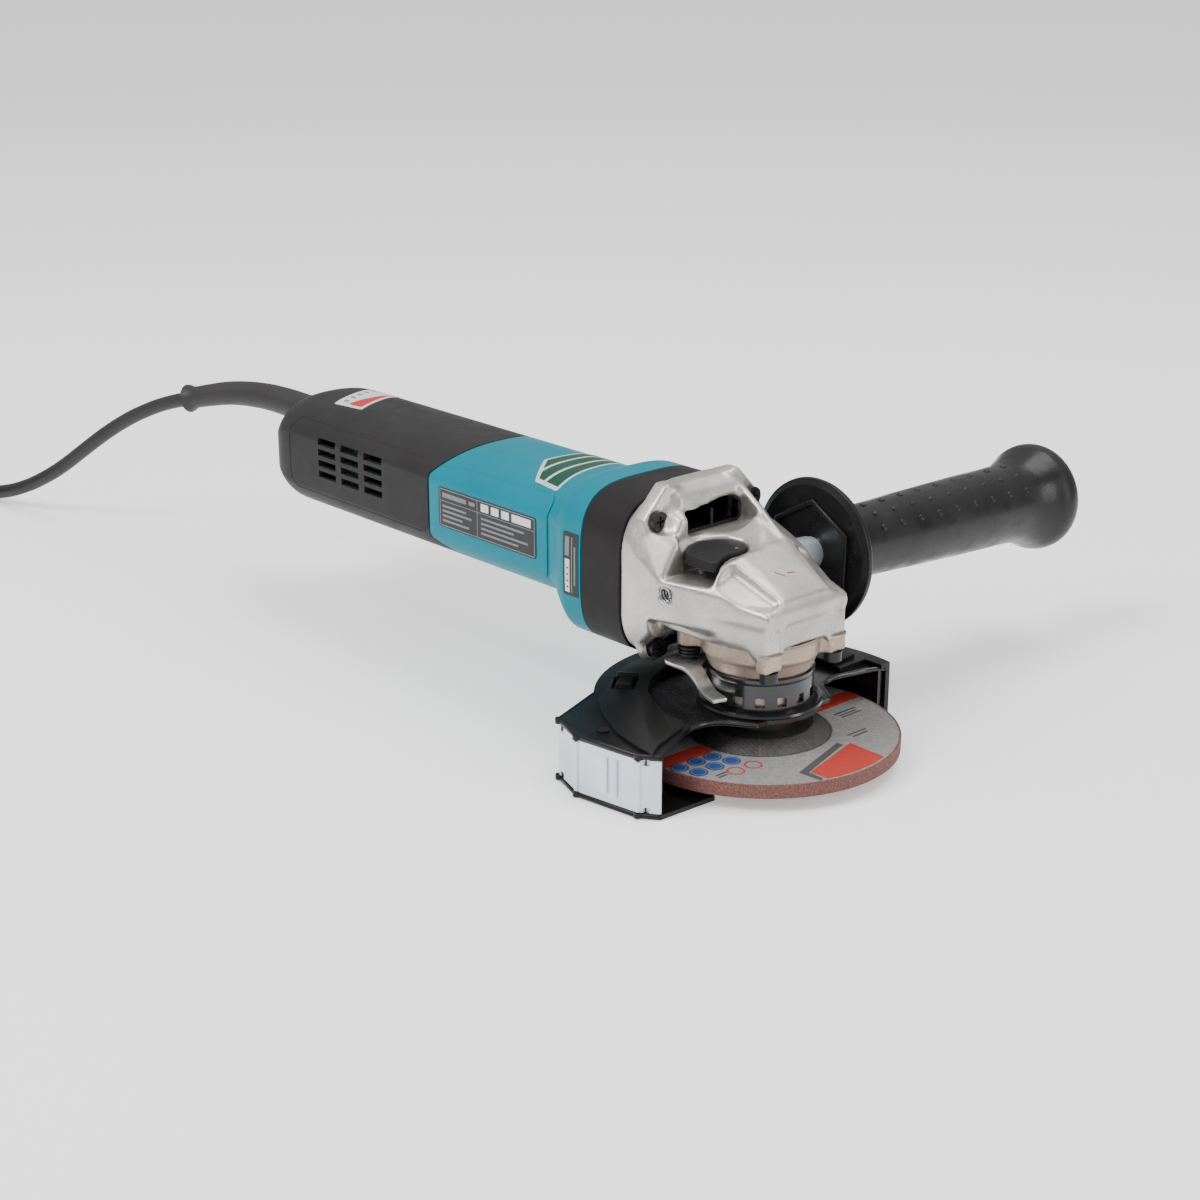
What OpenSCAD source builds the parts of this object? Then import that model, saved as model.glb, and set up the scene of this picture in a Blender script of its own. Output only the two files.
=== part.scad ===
// Angle grinder for 125 mm wheels, with side handle, clip-on cutting cover and mains lead.
// Every length is in millimetres. The working frame has its origin on the spindle axis, level
// with the flat top face of the wheel: +X points to the head, +Y to the side handle, +Z up.
// placed() then moves that frame to the middle of the tool's footprint, on its lowest face.

/* [Wheel and spindle] */
// Outer diameter of the grinding wheel
wheel_d = 125; // [115:1:125]
// Thickness of the grinding wheel
wheel_t = 6; // [3:0.5:6]
// Depth of the wheel's depressed centre
wheel_dish = 4.6; // [4:0.1:5]
// Bore of the wheel
wheel_bore_d = 22.23; // [22.2:0.01:22.3]

/* [Guard and cutting cover] */
// Outer radius of the sheet-metal wheel guard
guard_r = 70; // [69:0.5:70]
// Outer radius of the clip-on cover's round wall
cover_r = 73; // [73:0.1:74]
// Lowest face of the clip-on cover
cover_bottom_z = -12; // [-14:0.5:-12]
// Highest face of the clip-on cover
cover_top_z = 16.6; // [16.6:0.1:18]

/* [Tool body] */
// Height of the motor axis above the wheel's top face
motor_z = 65; // [65:0.1:65.2]
// Width of the grip
grip_w = 68.8; // [68.8:0.1:70]
// Height of the grip
grip_h = 58; // [58:0.1:59]
// Height of the grip's middle above the wheel's top face
grip_z = 67.5; // [67.4:0.1:67.6]
// Width of the motor flange and of the dark ring in front of it
flange_w = 80; // [80:0.5:81]
// Height of the motor flange
flange_h = 75; // [75:0.5:76]
// Where the tool's tail ends
tail_x = -332; // [-334:1:-332]

/* [Side handle] */
// Distance from the side of the gear housing to the end of the handle
handle_len = 183.5; // [180:0.5:190]
// Radius of the hand guard disc on the handle
hand_guard_r = 34.5; // [32:0.5:35]
// How far the handle droops below square to the body, in degrees
handle_droop = 2; // [0:0.5:2]

/* [Bevel gears] */
// Teeth of the bevel gear on the spindle
gear_teeth = 37; // [37:1:37]
// Teeth of the motor pinion
pinion_teeth = 12; // [12:1:12]
// Pitch radius of the bevel gear at its outer edge
gear_pitch_r = 20.5; // [20.4:0.1:20.6]
// Pressure angle of both gears, in degrees
pressure_angle = 25; // [25:1:25]
// Play between the gears' teeth, along the pitch circle
backlash = 0.25; // [0.2:0.05:0.4]

/* [Mains lead] */
// Outer diameter of the cord
cord_d = 8; // [7:0.5:8]

/* [Hidden] */
$fn = 64;

// ---- Shared places ----
wheel_r = wheel_d / 2;
side_y = 40;
hole_x = -20.7;
hole_z = motor_z + 0.4;
grip_end_r = 18;
handle_end_y = side_y + handle_len * cos(handle_droop) + grip_end_r * sin(handle_droop);
cover_near_y = -91;

// Middle of the tool's footprint, on its lowest face
base_point = [(tail_x + wheel_r) / 2, (cover_near_y + handle_end_y) / 2, cover_bottom_z];

// Body stations along the motor axis
tail_inner_x = -327;
split_x = -190;
flare_x = -92;
ring_back_x = -73.5;
ring_front_x = -48;
bulkhead_x = -41;
nose_x = 26.3;
housing_bottom_z = 47;
ring_z = 64.5;
wall_t = 3;
screw_y = 28.8;
upper_screw_z = 93.4;
lower_screw_z = 35.4;
boss_face_x = -36.5;

// Motor stations
core_back_x = -148;
core_front_x = -98;
commutator_back_x = -176;
commutator_front_x = -158;
shaft_back_x = -190.5;
brush_x = -167;

// Bearing box
ear_x = 24;
ear_y = 20;
box_bore_r = 17.5;
neck_r = 21.3;
neck_bottom_z = 15;
shoulder_z = 13.6;

// Shaft lock
lock_x = -8.4;
lock_y = -7.9;
lock_hole_r = norm([lock_x, lock_y]);
lock_angle = atan2(lock_y, lock_x);

// Guard
guard_top_z = 14.5;
guard_plate_t = 2;
guard_bottom_z = -8;
guard_front_x = 13;

// Lead
cord_r = cord_d / 2;
floor_z = cover_bottom_z;
coil_at = [-622, -142];
coil_inner_r = 32;
coil_outer_r = 56;
coil_h = 22;

teal = [0.02, 0.55, 0.62];
dark_plastic = [0.16, 0.16, 0.17];
cast_silver = [0.76, 0.76, 0.74];
black = [0.06, 0.06, 0.07];
steel = [0.62, 0.64, 0.67];
copper = [0.72, 0.42, 0.25];

module placed() {
    translate(-base_point) children();
}

// Rectangle with round corners, centred
module round_rect(w, h, r) {
    square([w - 2 * r, h], center = true);
    square([w, h - 2 * r], center = true);
    for (sx = [-1, 1], sy = [-1, 1])
        translate([sx * (w / 2 - r), sy * (h / 2 - r)]) circle(r);
}

// Bar along X with a round_rect section centred on height z
module bar_x(x0, x1, w, h, r, z) {
    translate([x0, 0, z]) rotate([90, 0, 90]) linear_extrude(x1 - x0) round_rect(w, h, r);
}

// Cylinder along X
module rod_x(x0, x1, r, y = 0, z = motor_z) {
    translate([x0, y, z]) rotate([0, 90, 0]) cylinder(r = r, h = x1 - x0);
}

// Cylinder along Z
module rod_z(z0, z1, r, x = 0, y = 0) {
    translate([x, y, z0]) cylinder(r = r, h = z1 - z0);
}

// Ring along X
module ring_x(x0, x1, r_out, r_in, y = 0, z = motor_z) {
    difference() {
        rod_x(x0, x1, r_out, y, z);
        rod_x(x0 - 1, x1 + 1, r_in, y, z);
    }
}

// Ring along Z
module ring_z(z0, z1, r_out, r_in) {
    difference() {
        rod_z(z0, z1, r_out);
        rod_z(z0 - 1, z1 + 1, r_in);
    }
}

// Box between two corners
module block(a, b) {
    translate(a) cube(b - a);
}

// Outline in the YZ plane extruded along X
module slab_x(x0, x1, points) {
    translate([x0, 0, 0]) rotate([90, 0, 90]) linear_extrude(x1 - x0) polygon(points);
}

// Outline in the XZ plane extruded along Y
module slab_y(y0, y1, points) {
    translate([0, y1, 0]) rotate([90, 0, 0]) linear_extrude(y1 - y0) polygon(points);
}

// Upright walls of thickness t on the left side of an open path, inset from it
module wall_path(path, inset, t, z0, z1) {
    for (i = [0 : len(path) - 2]) {
        run = path[i + 1] - path[i];
        turn = atan2(run[1], run[0]);
        translate([path[i][0], path[i][1], z0]) rotate([0, 0, turn])
            translate([0, inset, 0]) cube([norm(run), t, z1 - z0]);
    }
}

// Ball bearing along Z with its balls
module ball_bearing(r_in, r_out, w, balls = 8) {
    race = (r_out - r_in) * 0.3;
    ball_r = (r_out - r_in) * 0.19;
    ring_z(0, w, r_out, r_out - race);
    ring_z(0, w, r_in + race, r_in);
    for (i = [0 : balls - 1])
        rotate([0, 0, i * 360 / balls]) translate([(r_in + r_out) / 2, 0, w / 2])
            sphere(r = ball_r, $fn = 24);
}

// Pan-head screw along +X: head in front of x, shank behind it
module screw_x(x, length, shank_r, head_r, head_t, y, z) {
    rod_x(x - length, x, shank_r, y, z);
    difference() {
        rod_x(x, x + head_t, head_r, y, z);
        translate([x + head_t, y, z]) cube([2.4, head_r * 1.1, 1], center = true);
        translate([x + head_t, y, z]) cube([2.4, 1, head_r * 1.1], center = true);
    }
}

// ---- Housings ----

// Space behind the slanting joint between the motor housing and the rear cover
module rear_side() {
    slab_y(-60, 60, [
        [tail_x - 20, 20], [-166, 20], [-168, 40], [split_x, 51], [split_x, 83],
        [-174, 98], [-172, 115], [tail_x - 20, 115]
    ]);
}

module motor_housing() {
    spider_w = grip_w - 2 * wall_t - 0.6;
    spider_h = grip_h - 2 * wall_t - 1;
    color(teal) placed() difference() {
        union() {
            difference() {
                union() {
                    bar_x(-200, flare_x, grip_w, grip_h, 24, grip_z);
                    hull() {
                        bar_x(flare_x - 1, flare_x, grip_w, grip_h, 24, grip_z);
                        bar_x(ring_back_x - 9, ring_back_x, flange_w, flange_h, 22, ring_z);
                    }
                }
                bar_x(-210, flare_x + 0.1, grip_w - 2 * wall_t, grip_h - 2 * wall_t, 21, grip_z);
                bar_x(flare_x, ring_back_x - 8, grip_w - 2 * wall_t, grip_h - 2 * wall_t,
                    21, grip_z - 0.5);
                bar_x(ring_back_x - 9, ring_back_x + 1, flange_w - 9, flange_h - 9, 18, ring_z);
                rear_side();
            }
            for (sy = [-1, 1], z = [upper_screw_z, lower_screw_z])
                rod_x(ring_back_x - 8.5, ring_back_x, 5, sy * screw_y, z);
            bar_x(split_x, split_x + 8, spider_w, spider_h, 20.3, grip_z);
            for (sy = [-1, 1])
                translate([split_x, sy * (grip_w / 2 - wall_t) - 1, 55]) cube([8, 2, 24]);
        }
        rod_x(split_x - 1, split_x + 9, 13.6);
        for (a = [0 : 3])
            translate([split_x - 1, 0, motor_z]) rotate([a * 90 + 45, 0, 0])
                translate([0, -6, 17]) cube([10, 12, 5]);
        for (sy = [-1, 1], z = [upper_screw_z, lower_screw_z])
            rod_x(ring_back_x - 20, ring_back_x + 1, 2.5, sy * screw_y, z);
        block([-152, 20, 62], [-124, 60, 70]);
        block([split_x - 1, 28, 63], [split_x + 9, 30.2, 68]);
    }
}

module rear_cover() {
    slot_w = 15;
    slot_h = 3.2;
    color(dark_plastic) placed() difference() {
        intersection() {
            union() {
                bar_x(-322, -160, grip_w, grip_h, 24, grip_z);
                hull() {
                    bar_x(-322, -321, grip_w, grip_h, 24, grip_z);
                    bar_x(-328, -327, grip_w - 6, grip_h - 6, 22, grip_z);
                    bar_x(tail_x, tail_x + 1, grip_w - 20, grip_h - 18, 19, grip_z);
                }
            }
            rear_side();
        }
        bar_x(-320, -150, grip_w - 2 * wall_t, grip_h - 2 * wall_t, 21, grip_z);
        bar_x(tail_inner_x, -319, grip_w - 14, grip_h - 13, 19, grip_z);
        for (sy = [-1, 1], i = [0 : 2], k = [0 : 3])
            translate([-281.5 + i * 19.5, sy * (grip_w / 2 - 1), 63.3 + k * 5.3])
                cube([slot_w, 12, slot_h], center = true);
        rod_x(tail_x - 5, tail_inner_x + 5, 7.6, 0, 80);
        rod_x(tail_x - 1, tail_x + 3.5, 8.6, 0, 54);
        rod_x(tail_x - 1, tail_inner_x + 2, 2.1, 0, 54);
    }
}

module baffle_ring() {
    color(dark_plastic) placed() difference() {
        union() {
            difference() {
                bar_x(ring_back_x, ring_front_x, flange_w, flange_h, 22, ring_z);
                bar_x(ring_back_x - 1, ring_front_x + 1, flange_w - 6, flange_h - 6, 19, ring_z);
            }
            intersection() {
                bar_x(ring_back_x, ring_front_x, flange_w - 1, flange_h - 1, 21.5, ring_z);
                for (sy = [-1, 1], z = [upper_screw_z, lower_screw_z])
                    rod_x(ring_back_x, ring_front_x, 5, sy * screw_y, z);
            }
        }
        for (sy = [-1, 1], z = [upper_screw_z, lower_screw_z])
            rod_x(ring_back_x - 1, ring_front_x + 1, 2.7, sy * screw_y, z);
    }
}

// Half of a housing section in the YZ plane, mirrored to a whole outline
function whole(half) = concat(half, [for (i = [len(half) - 1 : -1 : 0]) [-half[i][0], half[i][1]]]);

section_back = whole([[36, 36], [39.4, 48], [39.4, 80], [35, 93], [24, 100.5]]);
section_hole = whole([[34, housing_bottom_z], [39.2, 52], [39.2, 70.5], [31, 84], [20, 93]]);
section_nose = whole([[23.6, housing_bottom_z], [23.6, 66.8], [13.8, 68.8]]);

module gear_housing_solid() {
    bar_x(ring_front_x, bulkhead_x, flange_w - 1, flange_h - 2, 21.5, ring_z);
    hull() {
        slab_x(bulkhead_x - 0.2, bulkhead_x, section_back);
        slab_x(-24, -23.8, section_hole);
    }
    hull() {
        slab_x(-24, -23.8, section_hole);
        slab_x(-10, -9.8, whole([[33, housing_bottom_z], [36, 52], [36, 70.5], [29, 81], [19, 87]]));
    }
    hull() {
        slab_x(-10, -9.8, whole([[33, housing_bottom_z], [36, 52], [36, 70.5], [29, 81], [19, 87]]));
        slab_x(nose_x - 2, nose_x, section_nose);
    }
    for (sy = [-1, 1]) {
        rod_x(bulkhead_x - 1, boss_face_x, 7, sy * screw_y, lower_screw_z);
        slab_x(bulkhead_x - 4, boss_face_x, [
            [sy * 14, 96], [sy * 15.5, 107], [sy * 21.8, 108.2], [sy * 35.4, 94], [sy * 36, 86],
            [sy * 26, 86]
        ]);
        rod_z(housing_bottom_z, 57, 4.4, ear_x, sy * ear_y);
    }
    slab_y(-15.6, 15.6, [
        [bulkhead_x - 4, 96], [bulkhead_x - 4, 105], [-38, 104.6], [-33, 100.4], [-32, 97.4],
        [-36, 96]
    ]);
}

// Place and droop of the side handle: its own +Z runs out along the handle
module handle_place() {
    translate([hole_x, side_y, hole_z]) rotate([-90 - handle_droop, 0, 0]) children();
}

// Plan of the lock button, and of the pocket it sits in when grow is more than 0
button_plan = [[-21, -27], [-24.6, -20], [-25.2, -13], [-22.6, -7], [-18.5, -2.8], [-13, -0.9],
    [-8.4, -1.8], [-5.4, -5.2], [-5, -9.4], [-6, -14], [-5.4, -19.6], [-2.6, -25.6]];
button_centre = [-13.5, -14];

module button_outline(grow) {
    polygon([for (p = button_plan) p + 1.15 * grow * (p - button_centre) / norm(p - button_centre)]);
}

module gear_housing() {
    color(cast_silver) placed() difference() {
        gear_housing_solid();
        bar_x(ring_front_x - 1, bulkhead_x, flange_w - 9, flange_h - 10, 17, ring_z);
        block([bulkhead_x - 1, -18, 85.5], [-20, 18, 94.5]);
        block([-30.4, -50, 20], [60, 50, housing_bottom_z]);
        for (sy = [-1, 1])
            translate([-30.4, sy * 41 - 10, 40]) cube([44, 20, 12.4]);
        rod_x(-34.5, -26, 14);
        rod_x(-42, -30, 9.5);
        rod_x(-27, -8, 8.5);
        rod_z(housing_bottom_z - 1, 62.4, 22.6);
        rod_z(housing_bottom_z - 1, 50.6, 24);
        rod_z(60, 71, 7);
        rod_z(60, 90, 2.06, lock_x, lock_y);
        rod_z(74, 90, 4.4, lock_x, lock_y);
        translate([0, 0, 75.4]) linear_extrude(30) button_outline(0.6);
        block([-23, -45, 72], [-1.2, -26, 100]);
        block([-22, -26.1, 72], [-4.4, -18, 76]);
        translate([hole_x, -side_y - 1, hole_z]) rotate([-90, 0, 0]) cylinder(r = 3.4, h = 15.6);
        handle_place() translate([0, 0, -15]) cylinder(r = 4.05, h = 30);
        for (sy = [-1, 1], z = [upper_screw_z, lower_screw_z])
            rod_x(ring_front_x - 1, boss_face_x + 1, 2.7, sy * screw_y, z);
        for (sy = [-1, 1], z = [upper_screw_z, lower_screw_z])
            rod_x(boss_face_x, -12, 5.4, sy * screw_y, z);
        for (sx = [-1, 1], sy = [-1, 1])
            rod_z(housing_bottom_z - 1, 56, 2.05, sx * ear_x, sy * ear_y);
    }
}

module gear_housing_screws() {
    color(black) placed()
        for (sy = [-1, 1], z = [upper_screw_z, lower_screw_z])
            screw_x(boss_face_x, 44, 2.45, 4.4, 2.6, sy * screw_y, z);
}

module exhaust_louver() {
    color(black) placed() {
        block([-35.5, -17.8, 85.7], [-31.5, 17.8, 87.2]);
        for (y = [-17.8, -0.8, 16.2])
            block([-35.5, y, 87.2], [-31.5, y + 1.6, 94.3]);
    }
}

// Round flange with four ears, in plan
module flange_outline() {
    circle(26.4);
    for (sx = [-1, 1], sy = [-1, 1]) {
        translate([sx * ear_x, sy * ear_y]) circle(5.6);
        rotate([0, 0, atan2(sy * ear_y, sx * ear_x)])
            translate([0, -5]) square([norm([ear_x, ear_y]), 10]);
    }
}

module bearing_box() {
    color([0.74, 0.66, 0.61]) placed() difference() {
        union() {
            translate([0, 0, 38.5]) linear_extrude(8) flange_outline();
            rod_z(46, 50.4, 23.9);
            rod_z(31.5, 39, 23);
            rod_z(neck_bottom_z, 32, neck_r);
        }
        rod_z(34.5, 52, box_bore_r);
        rod_z(neck_bottom_z - 1, 36, 12);
        for (sx = [-1, 1], sy = [-1, 1])
            rod_z(30, 48, 2.05, sx * ear_x, sy * ear_y);
    }
}

module gear_case_gasket() {
    color([0.2, 0.2, 0.2]) placed() difference() {
        translate([0, 0, 46.5]) linear_extrude(0.5) flange_outline();
        rod_z(46, 48, 24);
        for (sx = [-1, 1], sy = [-1, 1])
            rod_z(46, 48, 2.1, sx * ear_x, sy * ear_y);
    }
}

// Cap screw that hangs under an ear, shank up
module ear_screw(x, y, head_bottom_z, top_z) {
    difference() {
        union() {
            rod_z(head_bottom_z, 38.5, 4, x, y);
            rod_z(38, top_z, 2, x, y);
        }
        translate([x, y, head_bottom_z - 0.1]) cylinder(r = 2.2, h = 2.2, $fn = 6);
    }
}

module bearing_box_screws() {
    color(black) placed() {
        ear_screw(ear_x, -ear_y, 34, 55);
        ear_screw(ear_x, ear_y, 34, 55);
        ear_screw(-ear_x, ear_y, 34, 55);
    }
}

// Shoulder screw that carries the guard lever
module lever_screw() {
    color(black) placed() {
        rod_z(38, 55, 2, -ear_x, -ear_y);
        rod_z(30.6, 38.5, 3, -ear_x, -ear_y);
        rod_z(28.6, 30.7, 5, -ear_x, -ear_y);
    }
}

module lever_spring() {
    color(steel) placed() translate([-ear_x, -ear_y, 0])
        for (k = [0 : 2])
            translate([0, 0, 34 + k * 1.5]) rotate_extrude() translate([4.4, 0]) circle(0.6, $fn = 16);
}

// ---- Bearings and seals ----

module spindle_bearing() {
    color(steel) placed() translate([0, 0, 34.6]) ball_bearing(7.54, 17.45, 10.9);
}

module bearing_retainer() {
    color(steel) placed() ring_z(45.6, 47.3, 17.4, 13);
}

module dust_seal() {
    color(black) placed() ring_z(neck_bottom_z + 0.5, 19.5, 11.9, 8.6);
}

module top_spindle_bearing() {
    color(steel) placed() {
        ring_z(63, 70.5, 6.95, 5.6);
        for (i = [0 : 9])
            rotate([0, 0, i * 36]) rod_z(63.5, 70, 0.48, 5.06, 0);
    }
}

module front_motor_bearing() {
    color(steel) placed() translate([-34.4, 0, motor_z]) rotate([0, 90, 0])
        ball_bearing(6.04, 13.95, 8);
}

module rear_motor_bearing() {
    color(steel) placed() translate([-189.8, 0, motor_z]) rotate([0, 90, 0])
        ball_bearing(4.04, 11, 7);
}

module bearing_sleeve() {
    color(black) placed() ring_x(-189.9, -182.5, 13.5, 11.02);
}

// ---- Motor, fixed part ----

module field_core() {
    color([0.45, 0.45, 0.47]) placed() difference() {
        bar_x(core_back_x - 1, core_front_x + 1, 56, 51, 20, grip_z - 0.5);
        rod_x(core_back_x - 2, core_front_x + 2, 17.3);
        for (sy = [-1, 1])
            block([core_back_x - 2, sy * 20 - 4.5, motor_z - 12],
                [core_front_x + 2, sy * 20 + 4.5, motor_z + 12]);
    }
}

module field_coils() {
    color(copper) placed()
        for (sy = [-1, 1])
            difference() {
                block([core_back_x - 7, sy * 20.6 - 3.4, motor_z - 11],
                    [core_front_x + 7, sy * 20.6 + 3.4, motor_z + 11]);
                rod_x(core_back_x - 8, core_front_x + 8, 17.6);
            }
}

module air_guide() {
    color(dark_plastic) placed() difference() {
        bar_x(-81, -78, flange_w - 9.6, flange_h - 9.6, 17.7, ring_z);
        rod_x(-82, -77, 24);
        for (sy = [-1, 1], z = [upper_screw_z, lower_screw_z])
            rod_x(-82, -77, 5.2, sy * screw_y, z);
    }
}

module brush_holders() {
    color([0.7, 0.6, 0.3]) placed()
        for (sz = [-1, 1])
            difference() {
                translate([brush_x, 0, motor_z + sz * 18.9]) cube([10, 13, 9], center = true);
                translate([brush_x, 0, motor_z + sz * 18.9]) cube([6.2, 10.2, 12], center = true);
            }
}

module carbon_brushes() {
    color([0.12, 0.12, 0.12]) placed()
        for (sz = [-1, 1])
            translate([brush_x, 0, motor_z + sz * 16.7]) cube([6, 10, 6.8], center = true);
}

module brush_springs() {
    color(steel) placed()
        for (sz = [-1, 1], k = [0 : 1])
            translate([brush_x, 0, motor_z + sz * (20.8 + k * 1.7)])
                rotate_extrude() translate([2, 0]) circle(0.6, $fn = 16);
}

// ---- Switch, electronics and lead entry ----

module switch_body() {
    color(black) placed() {
        block([-250, -12, 52], [-216, 14, 84]);
        block([-254, -8, 56], [-250, 10, 62]);
    }
}

module controller_module() {
    color([0.1, 0.25, 0.15]) placed() {
        block([-300, -20, 48], [-262, 20, 51]);
        block([-298, -18, 51], [-264, 18, 66]);
        for (y = [-12, -4, 4, 12]) block([-296, y - 1, 66], [-268, y + 1, 74]);
    }
}

module cord_clamp() {
    color(dark_plastic) placed() difference() {
        block([-316, -13, 84.5], [-308, 13, 88.5]);
        for (sy = [-1, 1]) rod_z(80, 90, 1.6, -312, sy * 9.5);
    }
}

module cord_clamp_screws() {
    color(steel) placed()
        for (sy = [-1, 1]) {
            rod_z(76, 88.5, 1.5, -312, sy * 9.5);
            rod_z(88.5, 90.3, 2.8, -312, sy * 9.5);
        }
}

module rating_labels() {
    color(black) placed() {
        block([-181.6, -grip_w / 2 - 0.3, 58.9], [-109, -grip_w / 2, 78.4]);
        block([ring_back_x - 7.6, -flange_w / 2 - 0.25, 48], [ring_back_x - 1.6, -flange_w / 2, 79]);
    }
}

// ---- Side handle, along its own +Z ----

module handle_stud() {
    color(steel) placed() handle_place() {
        translate([0, 0, -12]) cylinder(r = 3.98, h = 13);
        translate([0, 0, 1]) cylinder(r = 8, h = 9.5);
        translate([0, 0, 10]) cylinder(r = 5, h = 45);
    }
}

module handle_flange() {
    color(black) placed() handle_place() difference() {
        union() {
            translate([0, 0, 13.5]) cylinder(r = hand_guard_r, h = 3);
            translate([0, 0, 16]) cylinder(r1 = hand_guard_r - 1, r2 = 20, h = 4.6);
            translate([0, 0, 10.6]) cylinder(r = 13, h = 10);
        }
        translate([0, 0, 9]) cylinder(r = 5.02, h = 20);
    }
}

module handle_grip() {
    color([0.09, 0.09, 0.1]) placed() handle_place() difference() {
        rotate_extrude() polygon([
            [0, 20.8], [17, 20.8], [16.9, 40], [18, 80], [19, 120], [19.3, 148], [20.6, 157],
            [23.4, 165], [26, 171], [26.4, 175], [25.2, 179.5], [22, handle_len - 1],
            [grip_end_r, handle_len], [0, handle_len]
        ]);
        translate([0, 0, 20]) cylinder(r = 5.02, h = 36);
    }
}

// ---- Armature ----

module armature_shaft() {
    color(steel) placed() {
        rod_x(-15, -10.2, 2.5);
        rod_x(-21.6, -15, 3.2);
        rod_x(-26.2, -21.6, 5.5);
        rod_x(-36, -26.2, 6);
        rod_x(-150, -36, 7);
        rod_x(-182, -150, 6);
        rod_x(shaft_back_x, -182, 4);
    }
}

module armature_core() {
    color([0.4, 0.4, 0.42]) placed() difference() {
        rod_x(core_back_x, core_front_x, 16.6);
        rod_x(core_back_x - 1, core_front_x + 1, 7);
        for (i = [0 : 11])
            translate([0, 0, motor_z]) rotate([i * 30, 0, 0])
                translate([core_back_x - 1, -0.8, 13.5]) cube([core_front_x - core_back_x + 2, 1.6, 5]);
    }
}

module armature_windings() {
    color(copper) placed() {
        ring_x(core_front_x, core_front_x + 8, 15, 7);
        ring_x(core_back_x - 8, core_back_x, 15, 7);
    }
}

module commutator() {
    color([0.75, 0.5, 0.3]) placed() difference() {
        ring_x(commutator_back_x, commutator_front_x, 13.2, 6);
        for (i = [0 : 23])
            translate([0, 0, motor_z]) rotate([i * 15, 0, 0])
                translate([commutator_back_x - 1, -0.3, 12]) cube([16, 0.6, 3]);
    }
}

module cooling_fan() {
    color([0.25, 0.25, 0.27]) placed() {
        ring_x(-66, -52, 11, 7);
        ring_x(-66, -64, 32, 11);
        for (i = [0 : 16])
            translate([-64, 0, motor_z]) rotate([i * 360 / 17, 0, 0])
                translate([0, -0.9, 14]) rotate([0, 0, 0]) cube([10, 1.8, 17.6]);
    }
}

module pinion_nut() {
    color(steel) placed() difference() {
        union() {
            translate([-13.8, 0, motor_z]) rotate([0, 90, 0]) cylinder(r = 5.2, h = 3.6, $fn = 6);
            rod_x(-14.7, -13.7, 4.2);
        }
        rod_x(-16, -9, 2.5);
    }
}

// ---- Bevel gears: straight teeth on cones that meet where the two axes cross ----

pi = 180 / PI;
cone_r = norm([gear_pitch_r, gear_pitch_r * pinion_teeth / gear_teeth]);
cone_inner_r = 15.9;
tooth_module = 2 * gear_pitch_r / gear_teeth;

// Involute function, in degrees
function inv(a) = tan(a) * pi - a;

// Half width of a tooth of the equivalent spur gear, as an arc length at height h
function half_arc(teeth, cone, shift, h) = let (
    r = cone_r * tan(cone),
    base = r * cos(pressure_angle),
    rho = max(r + h, base * 1.0001),
    psi = 90 * cos(cone) / teeth + 2 * shift * tan(pressure_angle) * pi * cos(cone) / teeth
        + inv(pressure_angle) - inv(acos(base / rho))
) (r + h) * psi / pi - backlash / 4;

// One tooth's outline as [height, turn] pairs, from its left root to its right root
function tooth(teeth, cone, shift) = let (
    low = -(1.2 - shift) * tooth_module,
    high = (0.9 + shift) * tooth_module,
    steps = [for (i = [0 : 4]) low + (high - low) * i / 4],
    turns = [for (h = steps) half_arc(teeth, cone, shift, h) / (cone_r * sin(cone + h / cone_r * pi)) * pi]
) concat(
    [for (i = [0 : 4]) [steps[i], -turns[i]]],
    [for (i = [4 : -1 : 0]) [steps[i], turns[i]]]
);

// Ring of points at distance r from the cones' meeting point, in the gear's own frame
function crown(teeth, cone, shift, r) = [
    for (k = [0 : teeth - 1], p = tooth(teeth, cone, shift))
        let (a = cone + p[0] / cone_r * pi, t = p[1] + k * 360 / teeth)
            r * [sin(a) * cos(t), sin(a) * sin(t), cos(a)]
];

// Toothed cone with its axis on +Z and the meeting point at the origin, closed by flat fans to
// near_z and far_z on the axis
module bevel_teeth(teeth, cone, shift, near_z, far_z) {
    inner = crown(teeth, cone, shift, cone_inner_r);
    outer = crown(teeth, cone, shift, cone_r);
    n = len(inner);
    polyhedron(
        points = concat(inner, outer, [[0, 0, near_z], [0, 0, far_z]]),
        faces = concat(
            [for (i = [0 : n - 1]) [i, (i + 1) % n, n + (i + 1) % n]],
            [for (i = [0 : n - 1]) [i, n + (i + 1) % n, n + i]],
            [for (i = [0 : n - 1]) [2 * n, (i + 1) % n, i]],
            [for (i = [0 : n - 1]) [2 * n + 1, n + i, n + (i + 1) % n]]
        ),
        convexity = 6
    );
}

gear_cone = atan2(gear_teeth, pinion_teeth);
tooth_shift = 0.35;
gear_web_z = 57.3;
pinion_bore_r = 3.2;

module bevel_gear() {
    color(steel) placed() difference() {
        translate([0, 0, motor_z]) rotate([180, 0, 0])
            bevel_teeth(gear_teeth, gear_cone, -tooth_shift, 7.6, 14);
        rod_z(40, 70, 7.5);
        rod_z(gear_web_z, 70, 14);
        for (k = [0 : 3])
            rotate([0, 0, lock_angle + k * 90]) rod_z(49, 60, 2.4, lock_hole_r, 0);
    }
}

module pinion() {
    color(steel) placed() difference() {
        translate([0, 0, motor_z]) rotate([0, -90, 0])
            bevel_teeth(pinion_teeth, 90 - gear_cone, tooth_shift, 15.1, 21.4);
        translate([0, 0, motor_z]) rotate([7, 0, 0]) rod_x(-30, -8, pinion_bore_r, 0, 0);
    }
}

// ---- Spindle group ----

module spindle() {
    color(steel) placed() {
        rod_z(gear_web_z, 70.3, 4.5);
        rod_z(33.6, gear_web_z + 0.1, 7.5);
        rod_z(45.8, 53, 9);
        rod_z(shoulder_z, 33.6, 8.4);
        rod_z(-9.5, shoulder_z, 6.9);
    }
}

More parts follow.
